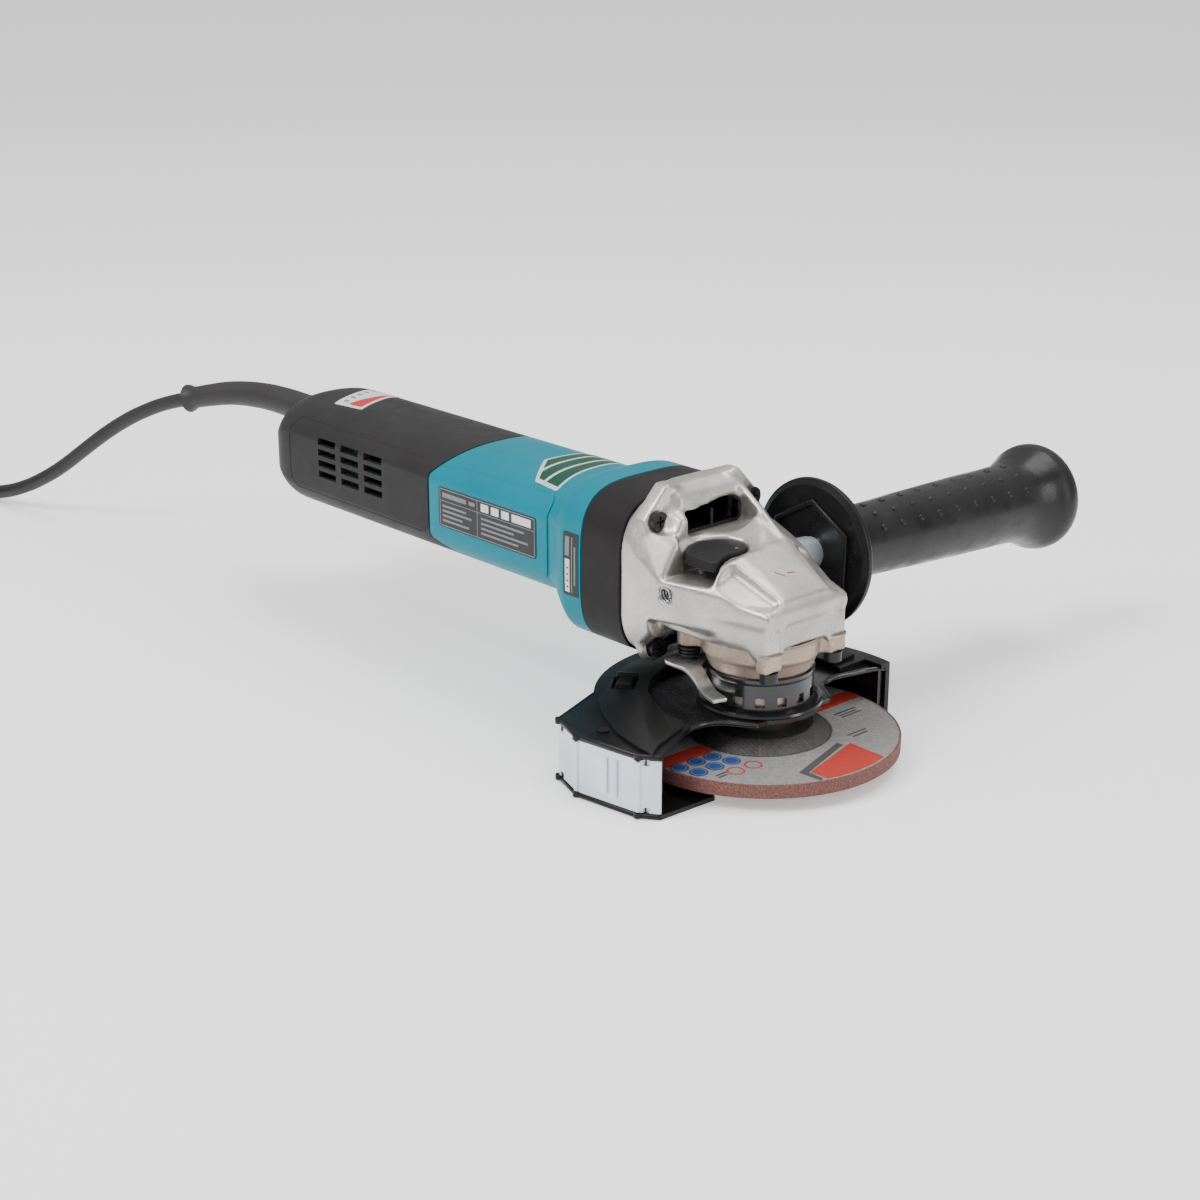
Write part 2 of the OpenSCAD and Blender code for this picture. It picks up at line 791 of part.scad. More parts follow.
module gear_circlip() {
    color(steel) placed() ring_z(gear_web_z + 0.15, gear_web_z + 1.2, 8.8, 4.55);
}

module inner_flange() {
    color([0.3, 0.3, 0.31]) placed() difference() {
        union() {
            rod_z(wheel_dish, shoulder_z, 15.6);
            rod_z(wheel_dish - 2.6, wheel_dish + 1, wheel_bore_d / 2 - 0.05);
        }
        rod_z(-1, 20, 6.95);
    }
}

module grinding_wheel() {
    hub_r = 31.6;
    seat_r = 24;
    color([0.45, 0.2, 0.17]) placed() rotate_extrude($fn = 128) polygon([
        [wheel_bore_d / 2, wheel_dish], [seat_r, wheel_dish], [hub_r, 0], [wheel_r, 0],
        [wheel_r, -wheel_t], [hub_r - 2, -wheel_t], [seat_r - 2, wheel_dish - wheel_t],
        [wheel_bore_d / 2, wheel_dish - wheel_t]
    ]);
}

module lock_nut() {
    top = wheel_dish - wheel_t;
    color(steel) placed() difference() {
        union() {
            rod_z(top - 6.6, top, 19);
            rod_z(top - 1, top + 2, wheel_bore_d / 2 - 0.05);
        }
        rod_z(-20, 5, 6.95);
        for (a = [45 : 90 : 315])
            rotate([0, 0, a]) rod_z(top - 8, top - 2, 2.4, 14.5, 0);
    }
}

// ---- Guard group ----

// Plan of the guard: round, with its opening's edge sweeping out to the collar
guard_edge = [[12.4, -74.2], [8, -61.7], [5.8, -52.4], [4, -43.4], [5.3, -36.1], [8.9, -30.9],
    [15, -26.8], [21, -22.4]];

module guard_plan(r) {
    intersection() {
        circle(r);
        polygon(concat(
            [[-80, -80], [guard_front_x, -80]],
            guard_edge,
            [for (i = [len(guard_edge) - 1 : -1 : 0]) [guard_edge[i][0], -guard_edge[i][1]]],
            [[guard_front_x, 80], [-80, 80]]
        ));
    }
}

module wheel_guard() {
    plate_bottom = guard_top_z - guard_plate_t;
    color(black) placed() difference() {
        union() {
            translate([0, 0, plate_bottom]) linear_extrude(guard_plate_t) difference() {
                guard_plan(guard_r);
                circle(21.6);
            }
            translate([0, 0, guard_bottom_z]) linear_extrude(plate_bottom - guard_bottom_z + 0.5)
                difference() {
                    guard_plan(guard_r);
                    circle(guard_r - 1.8);
                }
            translate([0, 0, guard_bottom_z - 1]) linear_extrude(1.2) difference() {
                guard_plan(guard_r);
                circle(guard_r - 4);
            }
            ring_z(guard_top_z - 0.5, 31.3, 23.5, 21.55);
            ring_z(guard_top_z - 2, 16, 27, 21.55);
        }
        for (a = [-70 : 24 : 26])
            rotate([0, 0, a]) translate([22, 0, 21]) cube([8, 4.4, 4.2], center = true);
    }
}

// Corners of the cover's box on the near side, from the back round to the front
near_box = [[-49.6, -53.4], [-38, -84.4], [-19, cover_near_y], [14, -86.4], [22, -80.4]];
plate_path = [near_box[1], near_box[2], near_box[3], near_box[4]];
cover_front_x = 3;
far_front_x = 13;

// Plan of the cover: the round part behind the opening, the near box and the far arm
module cover_plan(box_front) {
    intersection() {
        circle(cover_r);
        translate([-100, -100]) square([100 + cover_front_x, 200]);
    }
    polygon(concat(near_box, box_front));
    intersection() {
        circle(cover_r);
        translate([0, 66]) square([far_front_x, 20]);
    }
}

module clip_on_cover() {
    wall = 1.8;
    color(black) placed() difference() {
        union() {
            translate([0, 0, guard_top_z + 0.1]) linear_extrude(cover_top_z - guard_top_z - 0.1)
                difference() {
                    cover_plan([[6, -48], [-20, -45]]);
                    circle(49);
                }
            translate([0, 0, cover_bottom_z]) linear_extrude(2) difference() {
                cover_plan([[23, -50], [0, -40]]);
                circle(34);
            }
            translate([0, 0, cover_bottom_z]) linear_extrude(cover_top_z - cover_bottom_z)
                difference() {
                    intersection() {
                        circle(cover_r);
                        translate([-100, -100]) square([100 + far_front_x, 200]);
                    }
                    circle(cover_r - wall);
                    translate([cover_front_x, -100]) square([100, 160]);
                    polygon(concat(near_box, [[22, -50], [0, 0]]));
                }
            wall_path(near_box, 1.5, wall, cover_bottom_z, cover_top_z);
            block([far_front_x - 2, cover_r - 7, cover_bottom_z], [far_front_x, 71, cover_top_z]);
        }
        intersection() {
            rod_z(guard_bottom_z - 1.5, guard_top_z + 0.1, guard_r + 0.3);
            block([-100, -100, -20], [guard_front_x + 0.4, 100, 20]);
        }
        wall_path(plate_path, 0.2, 1.4, -9.7, 14.1);
    }
}

module cover_steel_plate() {
    color(steel) placed() difference() {
        wall_path(plate_path, 0.3, 1.2, -9.6, 14);
        for (x = [-34, 17], z = [-9.6, 14])
            translate([x, cover_near_y + 4, z]) cube([3, 8, 5], center = true);
    }
}

module cover_screw() {
    color(steel) placed() {
        rod_z(cover_top_z, cover_top_z + 1, 2.6, -13.5, -80.5);
    }
}

module guard_lever() {
    color([0.72, 0.73, 0.72]) placed() difference() {
        union() {
            rod_z(31.2, 32.8, 7, -ear_x, -ear_y);
            slab_y(-32, -24.6, [
                [-30, 32.8], [-30, 31.2], [-14.6, 31.2], [-4.6, 22.4], [8, 22.4], [8, 24],
                [-4, 24], [-14, 32.8]
            ]);
        }
        rod_z(30, 34, 3.05, -ear_x, -ear_y);
    }
}

// ---- Shaft lock ----

module lock_button() {
    color(black) placed() difference() {
        union() {
            translate([0, 0, 80]) linear_extrude(3) button_outline(0);
            block([-20.8, -25.4, 76.4], [-5.6, -19, 80.2]);
        }
        rod_z(70, 82, 1.95, lock_x, lock_y);
    }
}

module lock_pin() {
    color(steel) placed() {
        rod_z(58.6, 79.9, 2, lock_x, lock_y);
        rod_z(79.8, 82, 1.9, lock_x, lock_y);
    }
}

module lock_spring() {
    color(steel) placed() translate([lock_x, lock_y, 0])
        for (k = [0 : 2])
            translate([0, 0, 74.6 + k * 2.35]) rotate_extrude() translate([3.3, 0]) circle(0.5, $fn = 16);
}

// ---- Switch and dial ----

module switch_slider() {
    color(black) placed() {
        block([-153, grip_w / 2 + 0.3, 59], [-129, grip_w / 2 + 3.6, 73]);
        for (x = [-150, -146, -142, -138])
            block([x, grip_w / 2 + 3.5, 60], [x + 1.6, grip_w / 2 + 4.4, 72]);
        block([-150, 29.8, 63], [-136, grip_w / 2 + 0.5, 69]);
    }
}

module switch_rod() {
    color(dark_plastic) placed() {
        block([-150, 28.4, 63.5], [-136, 29.8, 68.5]);
        block([-196, 28.4, 64], [-149, 29.8, 67]);
    }
}

module speed_dial() {
    color([0.85, 0.85, 0.85]) placed() {
        rod_x(tail_x + 0.2, tail_x + 3.2, 8.2, 0, 54);
        rod_x(tail_x + 3.1, tail_inner_x + 3, 2, 0, 54);
        block([tail_x, -1, 47], [tail_x + 0.3, 1, 61]);
    }
}

// ---- Mains lead ----

// Points along the middle of the lead: out of the tail, down to the floor, then to the coil
guard_route = [
    [tail_inner_x, 0, 80], [-340, 0, 80.4], [-355, -1, 81.4], [-370, -3, 82], [-385, -6, 81.6],
    [-400, -10, 80], [-414, -15, 77], [-428, -20, 73.4]
];
cord_route = [
    [-428, -20, 73.4], [-444, -25, 68.4], [-460, -30, 61.6], [-476, -35, 53], [-492, -40, 42.6],
    [-508, -45, 31], [-524, -50, 19.4], [-540, -55, 9.6], [-556, -59, 2], [-572, -63, -3.6],
    [-588, -66, -6.8], [-604, -69, -7.8], [-620, -72, -7.9], [-638, -77, -7.9],
    [-652, -86, -7.9], [-658, -98, -7.9]
];

end_route = [
    [-611, -198, -7.9], [-600, -203, -7.9], [-588, -206, -7.9], [-577, -208, -5], [-567, -209, -1]
];
plug_z = -0.5;

// Tube of 8 sides swept along a route of points, with radius r at the start and r_end at the end
module swept_tube(route, r, r_end) {
    n = len(route);
    sides = 8;
    function along(i) = route[min(i + 1, n - 1)] - route[max(i - 1, 0)];
    function radius(i) = r + (r_end - r) * i / (n - 1);
    rings = [
        for (i = [0 : n - 1]) let (
            t = along(i) / norm(along(i)),
            s = cross(t, [0, 0, 1]) / norm(cross(t, [0, 0, 1])),
            u = cross(s, t)
        ) for (k = [0 : sides - 1])
            let (a = k * 360 / sides + 22.5)
                route[i] + radius(i) * (cos(a) * s + sin(a) * u)
    ];
    polyhedron(
        points = concat(rings, [route[0], route[n - 1]]),
        faces = concat(
            [for (i = [0 : n - 2], k = [0 : sides - 1]) let (
                a = i * sides + k,
                b = i * sides + (k + 1) % sides
            ) [a, b, b + sides]],
            [for (i = [0 : n - 2], k = [0 : sides - 1]) let (
                a = i * sides + k,
                b = i * sides + (k + 1) % sides
            ) [a, b + sides, a + sides]],
            [for (k = [0 : sides - 1]) [n * sides, (k + 1) % sides, k]],
            [for (k = [0 : sides - 1]) [n * sides + 1, (n - 1) * sides + k,
                (n - 1) * sides + (k + 1) % sides]]
        ),
        convexity = 6
    );
}

module cord_guard() {
    color(dark_plastic) placed() {
        swept_tube(guard_route, 7, 5.6);
        rod_x(tail_inner_x, tail_inner_x + 4, 9, 0, 80);
    }
}

module power_cord() {
    color(dark_plastic) placed() {
        swept_tube(cord_route, cord_r, cord_r);
        swept_tube(end_route, cord_r, cord_r);
    }
}

module cord_coil() {
    color(dark_plastic) placed() translate([coil_at[0], coil_at[1], floor_z])
        rotate_extrude() translate([coil_inner_r, 0]) square([coil_outer_r - coil_inner_r, coil_h]);
}

// Two-pin plug lying on its side, pins along +X
module power_plug() {
    color(dark_plastic) placed() translate([end_route[4][0], end_route[4][1], plug_z]) {
        rod_x(0, 14, 6, 0, 0);
        rod_x(13, 22, 9, 0, 0);
        block([21, -17, -9.5], [45, 17, 9.5]);
        for (sy = [-1, 1]) rod_x(45, 64, 2.4, sy * 9.5, 0);
    }
}

motor_housing();
rear_cover();
baffle_ring();
gear_housing();
gear_housing_screws();
exhaust_louver();
bearing_box();
gear_case_gasket();
bearing_box_screws();
lever_screw();
lever_spring();
spindle_bearing();
bearing_retainer();
dust_seal();
top_spindle_bearing();
front_motor_bearing();
rear_motor_bearing();
bearing_sleeve();
field_core();
field_coils();
air_guide();
brush_holders();
carbon_brushes();
brush_springs();
switch_body();
controller_module();
cord_clamp();
cord_clamp_screws();
rating_labels();
handle_stud();
handle_flange();
handle_grip();
armature_shaft();
armature_core();
armature_windings();
commutator();
cooling_fan();
pinion();
pinion_nut();
spindle();
bevel_gear();
gear_circlip();
inner_flange();
grinding_wheel();
lock_nut();
wheel_guard();
clip_on_cover();
cover_steel_plate();
cover_screw();
guard_lever();
lock_button();
lock_pin();
lock_spring();
switch_slider();
switch_rod();
speed_dial();
cord_guard();
power_cord();
cord_coil();
power_plug();
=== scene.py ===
import math

import bmesh
import bpy
from mathutils import Matrix, Vector, noise
from mathutils.bvhtree import BVHTree


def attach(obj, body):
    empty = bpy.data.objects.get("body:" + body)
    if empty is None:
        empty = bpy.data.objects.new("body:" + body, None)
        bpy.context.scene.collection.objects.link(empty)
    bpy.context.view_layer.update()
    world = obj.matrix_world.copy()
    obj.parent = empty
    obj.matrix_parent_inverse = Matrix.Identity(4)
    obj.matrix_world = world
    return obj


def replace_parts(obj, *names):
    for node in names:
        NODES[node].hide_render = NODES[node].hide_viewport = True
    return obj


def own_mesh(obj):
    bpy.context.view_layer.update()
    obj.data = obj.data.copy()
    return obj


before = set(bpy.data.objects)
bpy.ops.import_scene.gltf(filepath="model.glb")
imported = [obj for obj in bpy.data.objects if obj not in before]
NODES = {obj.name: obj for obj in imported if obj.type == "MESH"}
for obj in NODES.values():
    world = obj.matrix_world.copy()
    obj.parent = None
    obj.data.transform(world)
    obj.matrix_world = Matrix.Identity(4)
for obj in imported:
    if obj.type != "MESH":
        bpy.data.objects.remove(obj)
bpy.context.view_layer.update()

MM = 0.001
# The tool's own working point (spindle axis, wheel's top face) in the row frame, in mm
BASE = Vector((134.75, -66.508, 12.0))


def pt(x, y, z):
    """A point given in mm from the spindle axis and the wheel's top face, as row metres."""
    return Vector((x + BASE.x, y + BASE.y, z + BASE.z)) * MM


# ---- Materials ----

class Nodes:
    """A small helper that adds and links shader nodes."""

    def __init__(self, name, base, rough, metallic=0.0, coat=0.0, specular=0.5):
        self.mat = bpy.data.materials.new(name)
        self.mat.use_nodes = True
        self.tree = self.mat.node_tree
        self.shader = self.tree.nodes["Principled BSDF"]
        self.put("Base Color", (*base, 1.0))
        self.put("Roughness", rough)
        self.put("Metallic", metallic)
        self.put("Coat Weight", coat)
        self.put("Specular IOR Level", specular)
        self.coord = self.tree.nodes.new("ShaderNodeTexCoord").outputs["Object"]
        self.height = None

    def put(self, socket, value):
        self.shader.inputs[socket].default_value = value

    def add(self, kind, **inputs):
        n = self.tree.nodes.new(kind)
        for k, v in inputs.items():
            if hasattr(v, "is_linked"):
                self.tree.links.new(v, n.inputs[k])
            else:
                n.inputs[k].default_value = v
        return n

    def math(self, op, a, b=0.0, c=0.0):
        n = self.tree.nodes.new("ShaderNodeMath")
        n.operation = op
        for i, v in enumerate((a, b, c)):
            if hasattr(v, "is_linked"):
                self.tree.links.new(v, n.inputs[i])
            else:
                n.inputs[i].default_value = v
        return n.outputs[0]

    def noise(self, scale, detail=3.0, rough=0.55, coord=None):
        n = self.add("ShaderNodeTexNoise", Scale=scale, Detail=detail, Roughness=rough)
        self.tree.links.new(coord or self.coord, n.inputs["Vector"])
        return n.outputs["Fac"]

    def stretch(self, x, y, z):
        n = self.add("ShaderNodeMapping")
        n.inputs["Scale"].default_value = (x, y, z)
        self.tree.links.new(self.coord, n.inputs["Vector"])
        return n.outputs[0]

    def ramp(self, fac, stops):
        n = self.tree.nodes.new("ShaderNodeValToRGB")
        self.tree.links.new(fac, n.inputs["Fac"])
        ramp = n.color_ramp
        while len(ramp.elements) < len(stops):
            ramp.elements.new(0.5)
        for e, (pos, col) in zip(ramp.elements, stops):
            e.position = pos
            e.color = (*col, 1.0) if len(col) == 3 else col
        return n.outputs["Color"]

    def link(self, out, socket):
        self.tree.links.new(out, self.shader.inputs[socket])

    def map_range(self, fac, lo, hi, out_lo, out_hi):
        n = self.tree.nodes.new("ShaderNodeMapRange")
        self.tree.links.new(fac, n.inputs["Value"])
        for k, v in (("From Min", lo), ("From Max", hi), ("To Min", out_lo), ("To Max", out_hi)):
            n.inputs[k].default_value = v
        return n.outputs[0]

    def bump(self, height, distance, strength=1.0):
        n = self.add("ShaderNodeBump", Strength=strength, Distance=distance)
        self.tree.links.new(height, n.inputs["Height"])
        self.link(n.outputs[0], "Normal")


def shade(c, k):
    return tuple(min(1.0, max(0.0, v * k)) for v in c)


def moulded(name, base, rough, grain=2600.0, depth=0.00003, mottle=0.10, spread=0.06, specular=0.3):
    """Moulded plastic or rubber: fine spark texture, faint mottling and handling marks."""
    m = Nodes(name, base, rough, specular=specular)
    big = m.noise(28.0, 4.0)
    m.link(m.ramp(big, [(0.3, shade(base, 1 - mottle)), (0.7, shade(base, 1 + mottle))]), "Base Color")
    m.link(m.map_range(m.noise(90.0, 5.0), 0.3, 0.7, rough - spread, rough + spread), "Roughness")
    m.bump(m.noise(grain, 2.0), depth, 0.6)
    return m.mat


def cast(name, base, rough, metallic, pit=1500.0, depth=0.00005, coarse=0.25):
    """Die-cast metal: fine sandy skin, soft tone changes and a few flow marks."""
    m = Nodes(name, base, rough, metallic)
    tone = m.math("ADD", m.math("MULTIPLY", m.noise(35.0, 5.0), 0.55),
                  m.math("MULTIPLY", m.noise(pit, 3.0, 0.7), 0.45))
    m.link(m.ramp(tone, [(0.36, shade(base, 0.72)), (0.5, base), (0.64, shade(base, 1.22))]), "Base Color")
    m.link(m.map_range(m.noise(160.0, 4.0), 0.25, 0.75, rough - 0.08, rough + 0.10), "Roughness")
    fine = m.noise(pit, 3.0, 0.6)
    m.bump(m.math("ADD", fine, m.math("MULTIPLY", m.noise(300.0, 2.0), coarse)), depth, 0.7)
    return m.mat


def brushed(name, base, rough, along, metallic=1.0, depth=0.00002):
    """Machined or rolled metal with fine marks stretched along one direction."""
    m = Nodes(name, base, rough, metallic)
    lines = m.noise(1.0, 3.0, 0.6, m.stretch(*along))
    m.link(m.map_range(lines, 0.3, 0.7, rough - 0.07, rough + 0.1), "Roughness")
    m.link(m.ramp(m.noise(60.0), [(0.3, shade(base, 0.9)), (0.7, shade(base, 1.05))]), "Base Color")
    m.bump(lines, depth, 0.5)
    return m.mat


def painted(name, base, rough, coat=0.3):
    """Painted sheet steel: slight orange peel and fine dust."""
    m = Nodes(name, base, rough, coat=coat)
    m.put("Coat Roughness", 0.18)
    m.link(m.ramp(m.noise(45.0, 5.0), [(0.35, base), (0.75, shade(base, 1.15))]), "Base Color")
    m.link(m.map_range(m.noise(120.0, 4.0), 0.3, 0.7, rough - 0.06, rough + 0.1), "Roughness")
    m.bump(m.noise(420.0, 2.0), 0.00004, 0.5)
    return m.mat


def radial(m, centre):
    """Distance from a vertical axis in mm and the angle about it, from object coordinates."""
    xyz = m.add("ShaderNodeSeparateXYZ", Vector=m.coord).outputs
    dx = m.math("MULTIPLY", m.math("SUBTRACT", xyz[0], centre.x), 1000.0)
    dy = m.math("MULTIPLY", m.math("SUBTRACT", xyz[1], centre.y), 1000.0)
    r = m.math("SQRT", m.math("ADD", m.math("MULTIPLY", dx, dx), m.math("MULTIPLY", dy, dy)))
    return r, m.math("ARCTAN2", dy, dx), xyz[2], dx, dy


def weave(m, dx, dy, pitch):
    """Height of a coarse cloth, two crossed sets of threads of that pitch in mm."""
    a = m.math("SINE", m.math("MULTIPLY", dx, 2 * math.pi / pitch))
    b = m.math("SINE", m.math("MULTIPLY", dy, 2 * math.pi / pitch))
    return m.math("MAXIMUM", a, b)


def wheel_skin():
    """Grinding wheel: brown grit on the rim, a grey printed cloth label and a dark hub cone."""
    m = Nodes("wheel_skin", (0.3, 0.1, 0.08), 0.85)
    r, turn, z, dx, dy = radial(m, pt(0, 0, 0))
    grit = m.noise(1900.0, 3.0, 0.7)
    brown = m.ramp(grit, [(0.3, (0.065, 0.025, 0.02)), (0.5, (0.15, 0.058, 0.047)),
                          (0.72, (0.29, 0.15, 0.125))])
    cloth = m.ramp(m.noise(700.0, 3.0, 0.7), [(0.3, (0.17, 0.167, 0.16)), (0.7, (0.27, 0.263, 0.25))])
    dark = m.ramp(m.noise(500.0, 4.0, 0.7), [(0.3, (0.028, 0.027, 0.026)), (0.7, (0.07, 0.067, 0.064))])
    cracks = m.math("GREATER_THAN", m.math("COSINE", m.math("MULTIPLY", turn, 8.0)), 0.99965)
    def blend(fac, a, b):
        n = m.tree.nodes.new("ShaderNodeMix")
        n.data_type = "RGBA"
        m.tree.links.new(fac, n.inputs["Factor"])
        m.tree.links.new(a, n.inputs[6])
        if isinstance(b, tuple):
            n.inputs[7].default_value = b
        else:
            m.tree.links.new(b, n.inputs[7])
        return n.outputs[2]

    wob = m.math("ADD", r, m.math("MULTIPLY", m.math("SUBTRACT", m.noise(400.0), 0.5), 0.9))
    hub = m.math("LESS_THAN", wob, 32.4)
    rim = m.math("GREATER_THAN", wob, 61.4)
    top = m.math("GREATER_THAN", z, (BASE.z - 0.4) * MM)
    side = m.math("SUBTRACT", 1.0, top)
    colour = blend(hub, cloth, blend(cracks, dark, (0.34, 0.10, 0.055, 1)))
    colour = blend(m.math("MAXIMUM", rim, side), colour, brown)
    m.link(colour, "Base Color")
    rough = m.math("SUBTRACT", 0.88, m.math("MULTIPLY", hub, 0.42))
    m.link(rough, "Roughness")
    height = m.math("ADD", m.math("MULTIPLY", grit, 1.2), m.math("MULTIPLY", weave(m, dx, dy, 1.5), 0.35))
    m.bump(height, 0.00025, 0.7)
    return m.mat


def printed(name, base):
    """Ink on the wheel's cloth label: worn slightly by the weave below it."""
    m = Nodes(name, base, 0.8)
    r, turn, z, dx, dy = radial(m, pt(0, 0, 0))
    m.link(m.ramp(m.noise(900.0, 3.0, 0.7),
                  [(0.3, shade(base, 0.78)), (0.65, base), (0.8, shade(base, 1.25))]), "Base Color")
    m.bump(m.math("ADD", m.noise(1900.0), m.math("MULTIPLY", weave(m, dx, dy, 1.5), 0.35)), 0.00018, 0.6)
    return m.mat


TEAL = moulded("teal_plastic", (0.0, 0.175, 0.235), 0.40, grain=2200.0, mottle=0.05, specular=0.12)
DARK = moulded("dark_plastic", (0.023, 0.0215, 0.022), 0.50, mottle=0.12, specular=0.15)
BAND = moulded("band_plastic", (0.016, 0.0145, 0.015), 0.50, mottle=0.12, specular=0.12)
BLACK = moulded("black_plastic", (0.006, 0.006, 0.0065), 0.30, mottle=0.2, specular=0.3)
COVER = moulded("cover_plastic", (0.007, 0.007, 0.0075), 0.36, grain=1500.0, mottle=0.2, specular=0.25)
BUTTON = moulded("button_plastic", (0.012, 0.0115, 0.012), 0.5, mottle=0.12, specular=0.18)
RUBBER = moulded("grip_rubber", (0.008, 0.0075, 0.008), 0.33, grain=900.0, depth=0.00010, mottle=0.5,
                 spread=0.13, specular=0.3)
CORD = moulded("cord_rubber", (0.022, 0.021, 0.022), 0.5, grain=1300.0, mottle=0.15)
SLEEVE = moulded("sleeve_rubber", (0.026, 0.024, 0.025), 0.5, grain=1300.0, mottle=0.15)
CAST = cast("cast_silver", (0.50, 0.485, 0.45), 0.36, 0.85, depth=0.00009)
CAST_BOX = cast("cast_box", (0.42, 0.33, 0.27), 0.42, 0.6, pit=900.0, depth=0.00012, coarse=0.5)
GUARD = painted("guard_black", (0.007, 0.007, 0.008), 0.24)
ZINC = brushed("zinc_sheet", (0.66, 0.72, 0.77), 0.42, (60, 60, 260), metallic=0.5, depth=0.000008)
PLATED = brushed("zinc_lever", (0.62, 0.62, 0.60), 0.33, (300, 60, 300), metallic=0.9)
CHROME = brushed("stud_zinc", (0.66, 0.74, 0.78), 0.18, (200, 900, 200), metallic=0.55)
STEEL = brushed("machined_steel", (0.50, 0.51, 0.53), 0.30, (200, 200, 1200))
BLACK_STEEL = cast("blackened_steel", (0.028, 0.027, 0.027), 0.34, 0.6, depth=0.00003)
FLANGE = cast("flange_steel", (0.06, 0.055, 0.052), 0.36, 0.7, depth=0.00003)
LAMINATION = brushed("lamination", (0.30, 0.30, 0.31), 0.45, (1500, 60, 60))
COPPER = brushed("copper_wire", (0.58, 0.24, 0.12), 0.35, (900, 900, 900))
BRASS = brushed("brass", (0.60, 0.46, 0.20), 0.35, (300, 300, 300))
CARBON = cast("carbon", (0.03, 0.03, 0.03), 0.6, 0.0)
CIRCUIT = moulded("circuit", (0.03, 0.12, 0.07), 0.45)
PALE = moulded("dial_plastic", (0.62, 0.62, 0.60), 0.4)
LABEL = moulded("label_film", (0.013, 0.013, 0.015), 0.35, depth=0.00001, mottle=0.2)
WHITE = moulded("label_white", (0.62, 0.62, 0.61), 0.38, depth=0.00001, mottle=0.05)
GREY = moulded("label_grey", (0.16, 0.17, 0.18), 0.4, depth=0.00001, mottle=0.1)
RED = moulded("label_red", (0.48, 0.015, 0.015), 0.4, depth=0.00001, mottle=0.08)
GREEN = moulded("badge_green", (0.0, 0.055, 0.03), 0.4, depth=0.00001, mottle=0.1)
SILVER = moulded("badge_silver", (0.50, 0.55, 0.56), 0.35, depth=0.00001, mottle=0.08)
INK_RED = printed("ink_red", (0.44, 0.025, 0.016))
INK_BLUE = printed("ink_blue", (0.006, 0.055, 0.24))
INK_GREY = printed("ink_grey", (0.055, 0.055, 0.055))
MARK = moulded("casting_mark", (0.20, 0.11, 0.07), 0.6)
WHEEL = wheel_skin()

NODE_MATERIALS = (
    (TEAL, "motor_housing"),
    (DARK, "rear_cover air_guide cord_clamp cooling_fan switch_rod"),
    (BAND, "baffle_ring"),
    (CAST, "gear_housing"),
    (BLACK_STEEL, "gear_housing_screws bearing_box_screws lever_screw lever_spring cover_screw"),
    (BLACK, "exhaust_louver dust_seal bearing_sleeve switch_body handle_flange switch_slider "
            "power_plug"),
    (CAST_BOX, "bearing_box gear_case_gasket"),
    (STEEL, "spindle_bearing bearing_retainer top_spindle_bearing front_motor_bearing "
            "rear_motor_bearing brush_springs cord_clamp_screws armature_shaft pinion pinion_nut "
            "spindle bevel_gear gear_circlip lock_nut lock_pin lock_spring"),
    (LAMINATION, "field_core armature_core"),
    (COPPER, "field_coils armature_windings commutator"),
    (BRASS, "brush_holders"),
    (CARBON, "carbon_brushes"),
    (CIRCUIT, "controller_module"),
    (LABEL, "rating_labels"),
    (CHROME, "handle_stud"),
    (RUBBER, "handle_grip"),
    (FLANGE, "inner_flange"),
    (WHEEL, "grinding_wheel"),
    (GUARD, "wheel_guard"),
    (COVER, "clip_on_cover"),
    (ZINC, "cover_steel_plate"),
    (PLATED, "guard_lever"),
    (BUTTON, "lock_button"),
    (PALE, "speed_dial"),
    (SLEEVE, "cord_guard"),
    (CORD, "power_cord cord_coil"),
)
for mat, names in NODE_MATERIALS:
    for name in names.split():
        slots = NODES[name].data.materials
        slots.clear()
        slots.append(mat)


# ---- Mesh helpers ----

def new_piece(name, bm, mat, body, smooth=40.0):
    """Turns a bmesh into a piece that rides on a body, smooth except at sharp edges."""
    mesh = bpy.data.meshes.new(name)
    bmesh.ops.recalc_face_normals(bm, faces=bm.faces)
    bm.to_mesh(mesh)
    bm.free()
    ob = bpy.data.objects.new(name, mesh)
    bpy.context.scene.collection.objects.link(ob)
    for m in (mat if isinstance(mat, (list, tuple)) else [mat]):
        mesh.materials.append(m)
    for p in mesh.polygons:
        p.use_smooth = True
    mesh.set_sharp_from_angle(angle=math.radians(smooth))
    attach(ob, body)
    return ob


def apply(ob):
    """Replaces an object's mesh by its evaluated one."""
    graph = bpy.context.evaluated_depsgraph_get()
    mesh = bpy.data.meshes.new_from_object(ob.evaluated_get(graph))
    ob.modifiers.clear()
    ob.data = mesh
    return ob


def finish_mesh(ob, smooth=40.0):
    for p in ob.data.polygons:
        p.use_smooth = True
    ob.data.set_sharp_from_angle(angle=math.radians(smooth))


def bevel(ob, width, segments=3, angle=30.0):
    m = ob.modifiers.new("bevel", "BEVEL")
    m.width = width * MM
    m.segments = segments
    m.limit_method = "ANGLE"
    m.angle_limit = math.radians(angle)
    apply(ob)
    finish_mesh(ob)
    return ob


def rings_to_mesh(bm, rings, closed=False, cap=(True, True)):
    """Skins a list of equal closed rings of points, in order."""
    rows = [[bm.verts.new(p) for p in ring] for ring in rings]
    n = len(rows[0])
    pairs = list(zip(rows, rows[1:])) + ([(rows[-1], rows[0])] if closed else [])
    for a, b in pairs:
        for i in range(n):
            j = (i + 1) % n
            bm.faces.new((a[i], a[j], b[j], b[i]))
    if not closed:
        if cap[0]:
            bm.faces.new(rows[0][::-1])
        if cap[1]:
            bm.faces.new(rows[-1])
    return rows


def around(count):
    """Equal angles round a circle."""
    return [2 * math.pi * k / count for k in range(count)]


def prism(points, lo, hi, place):
    """A closed prism from a plan outline: place(u, v, w) gives a row point from mm."""
    bm = bmesh.new()
    rings_to_mesh(bm, [[place(u, v, w) for u, v in points] for w in (lo, hi)])
    return bm


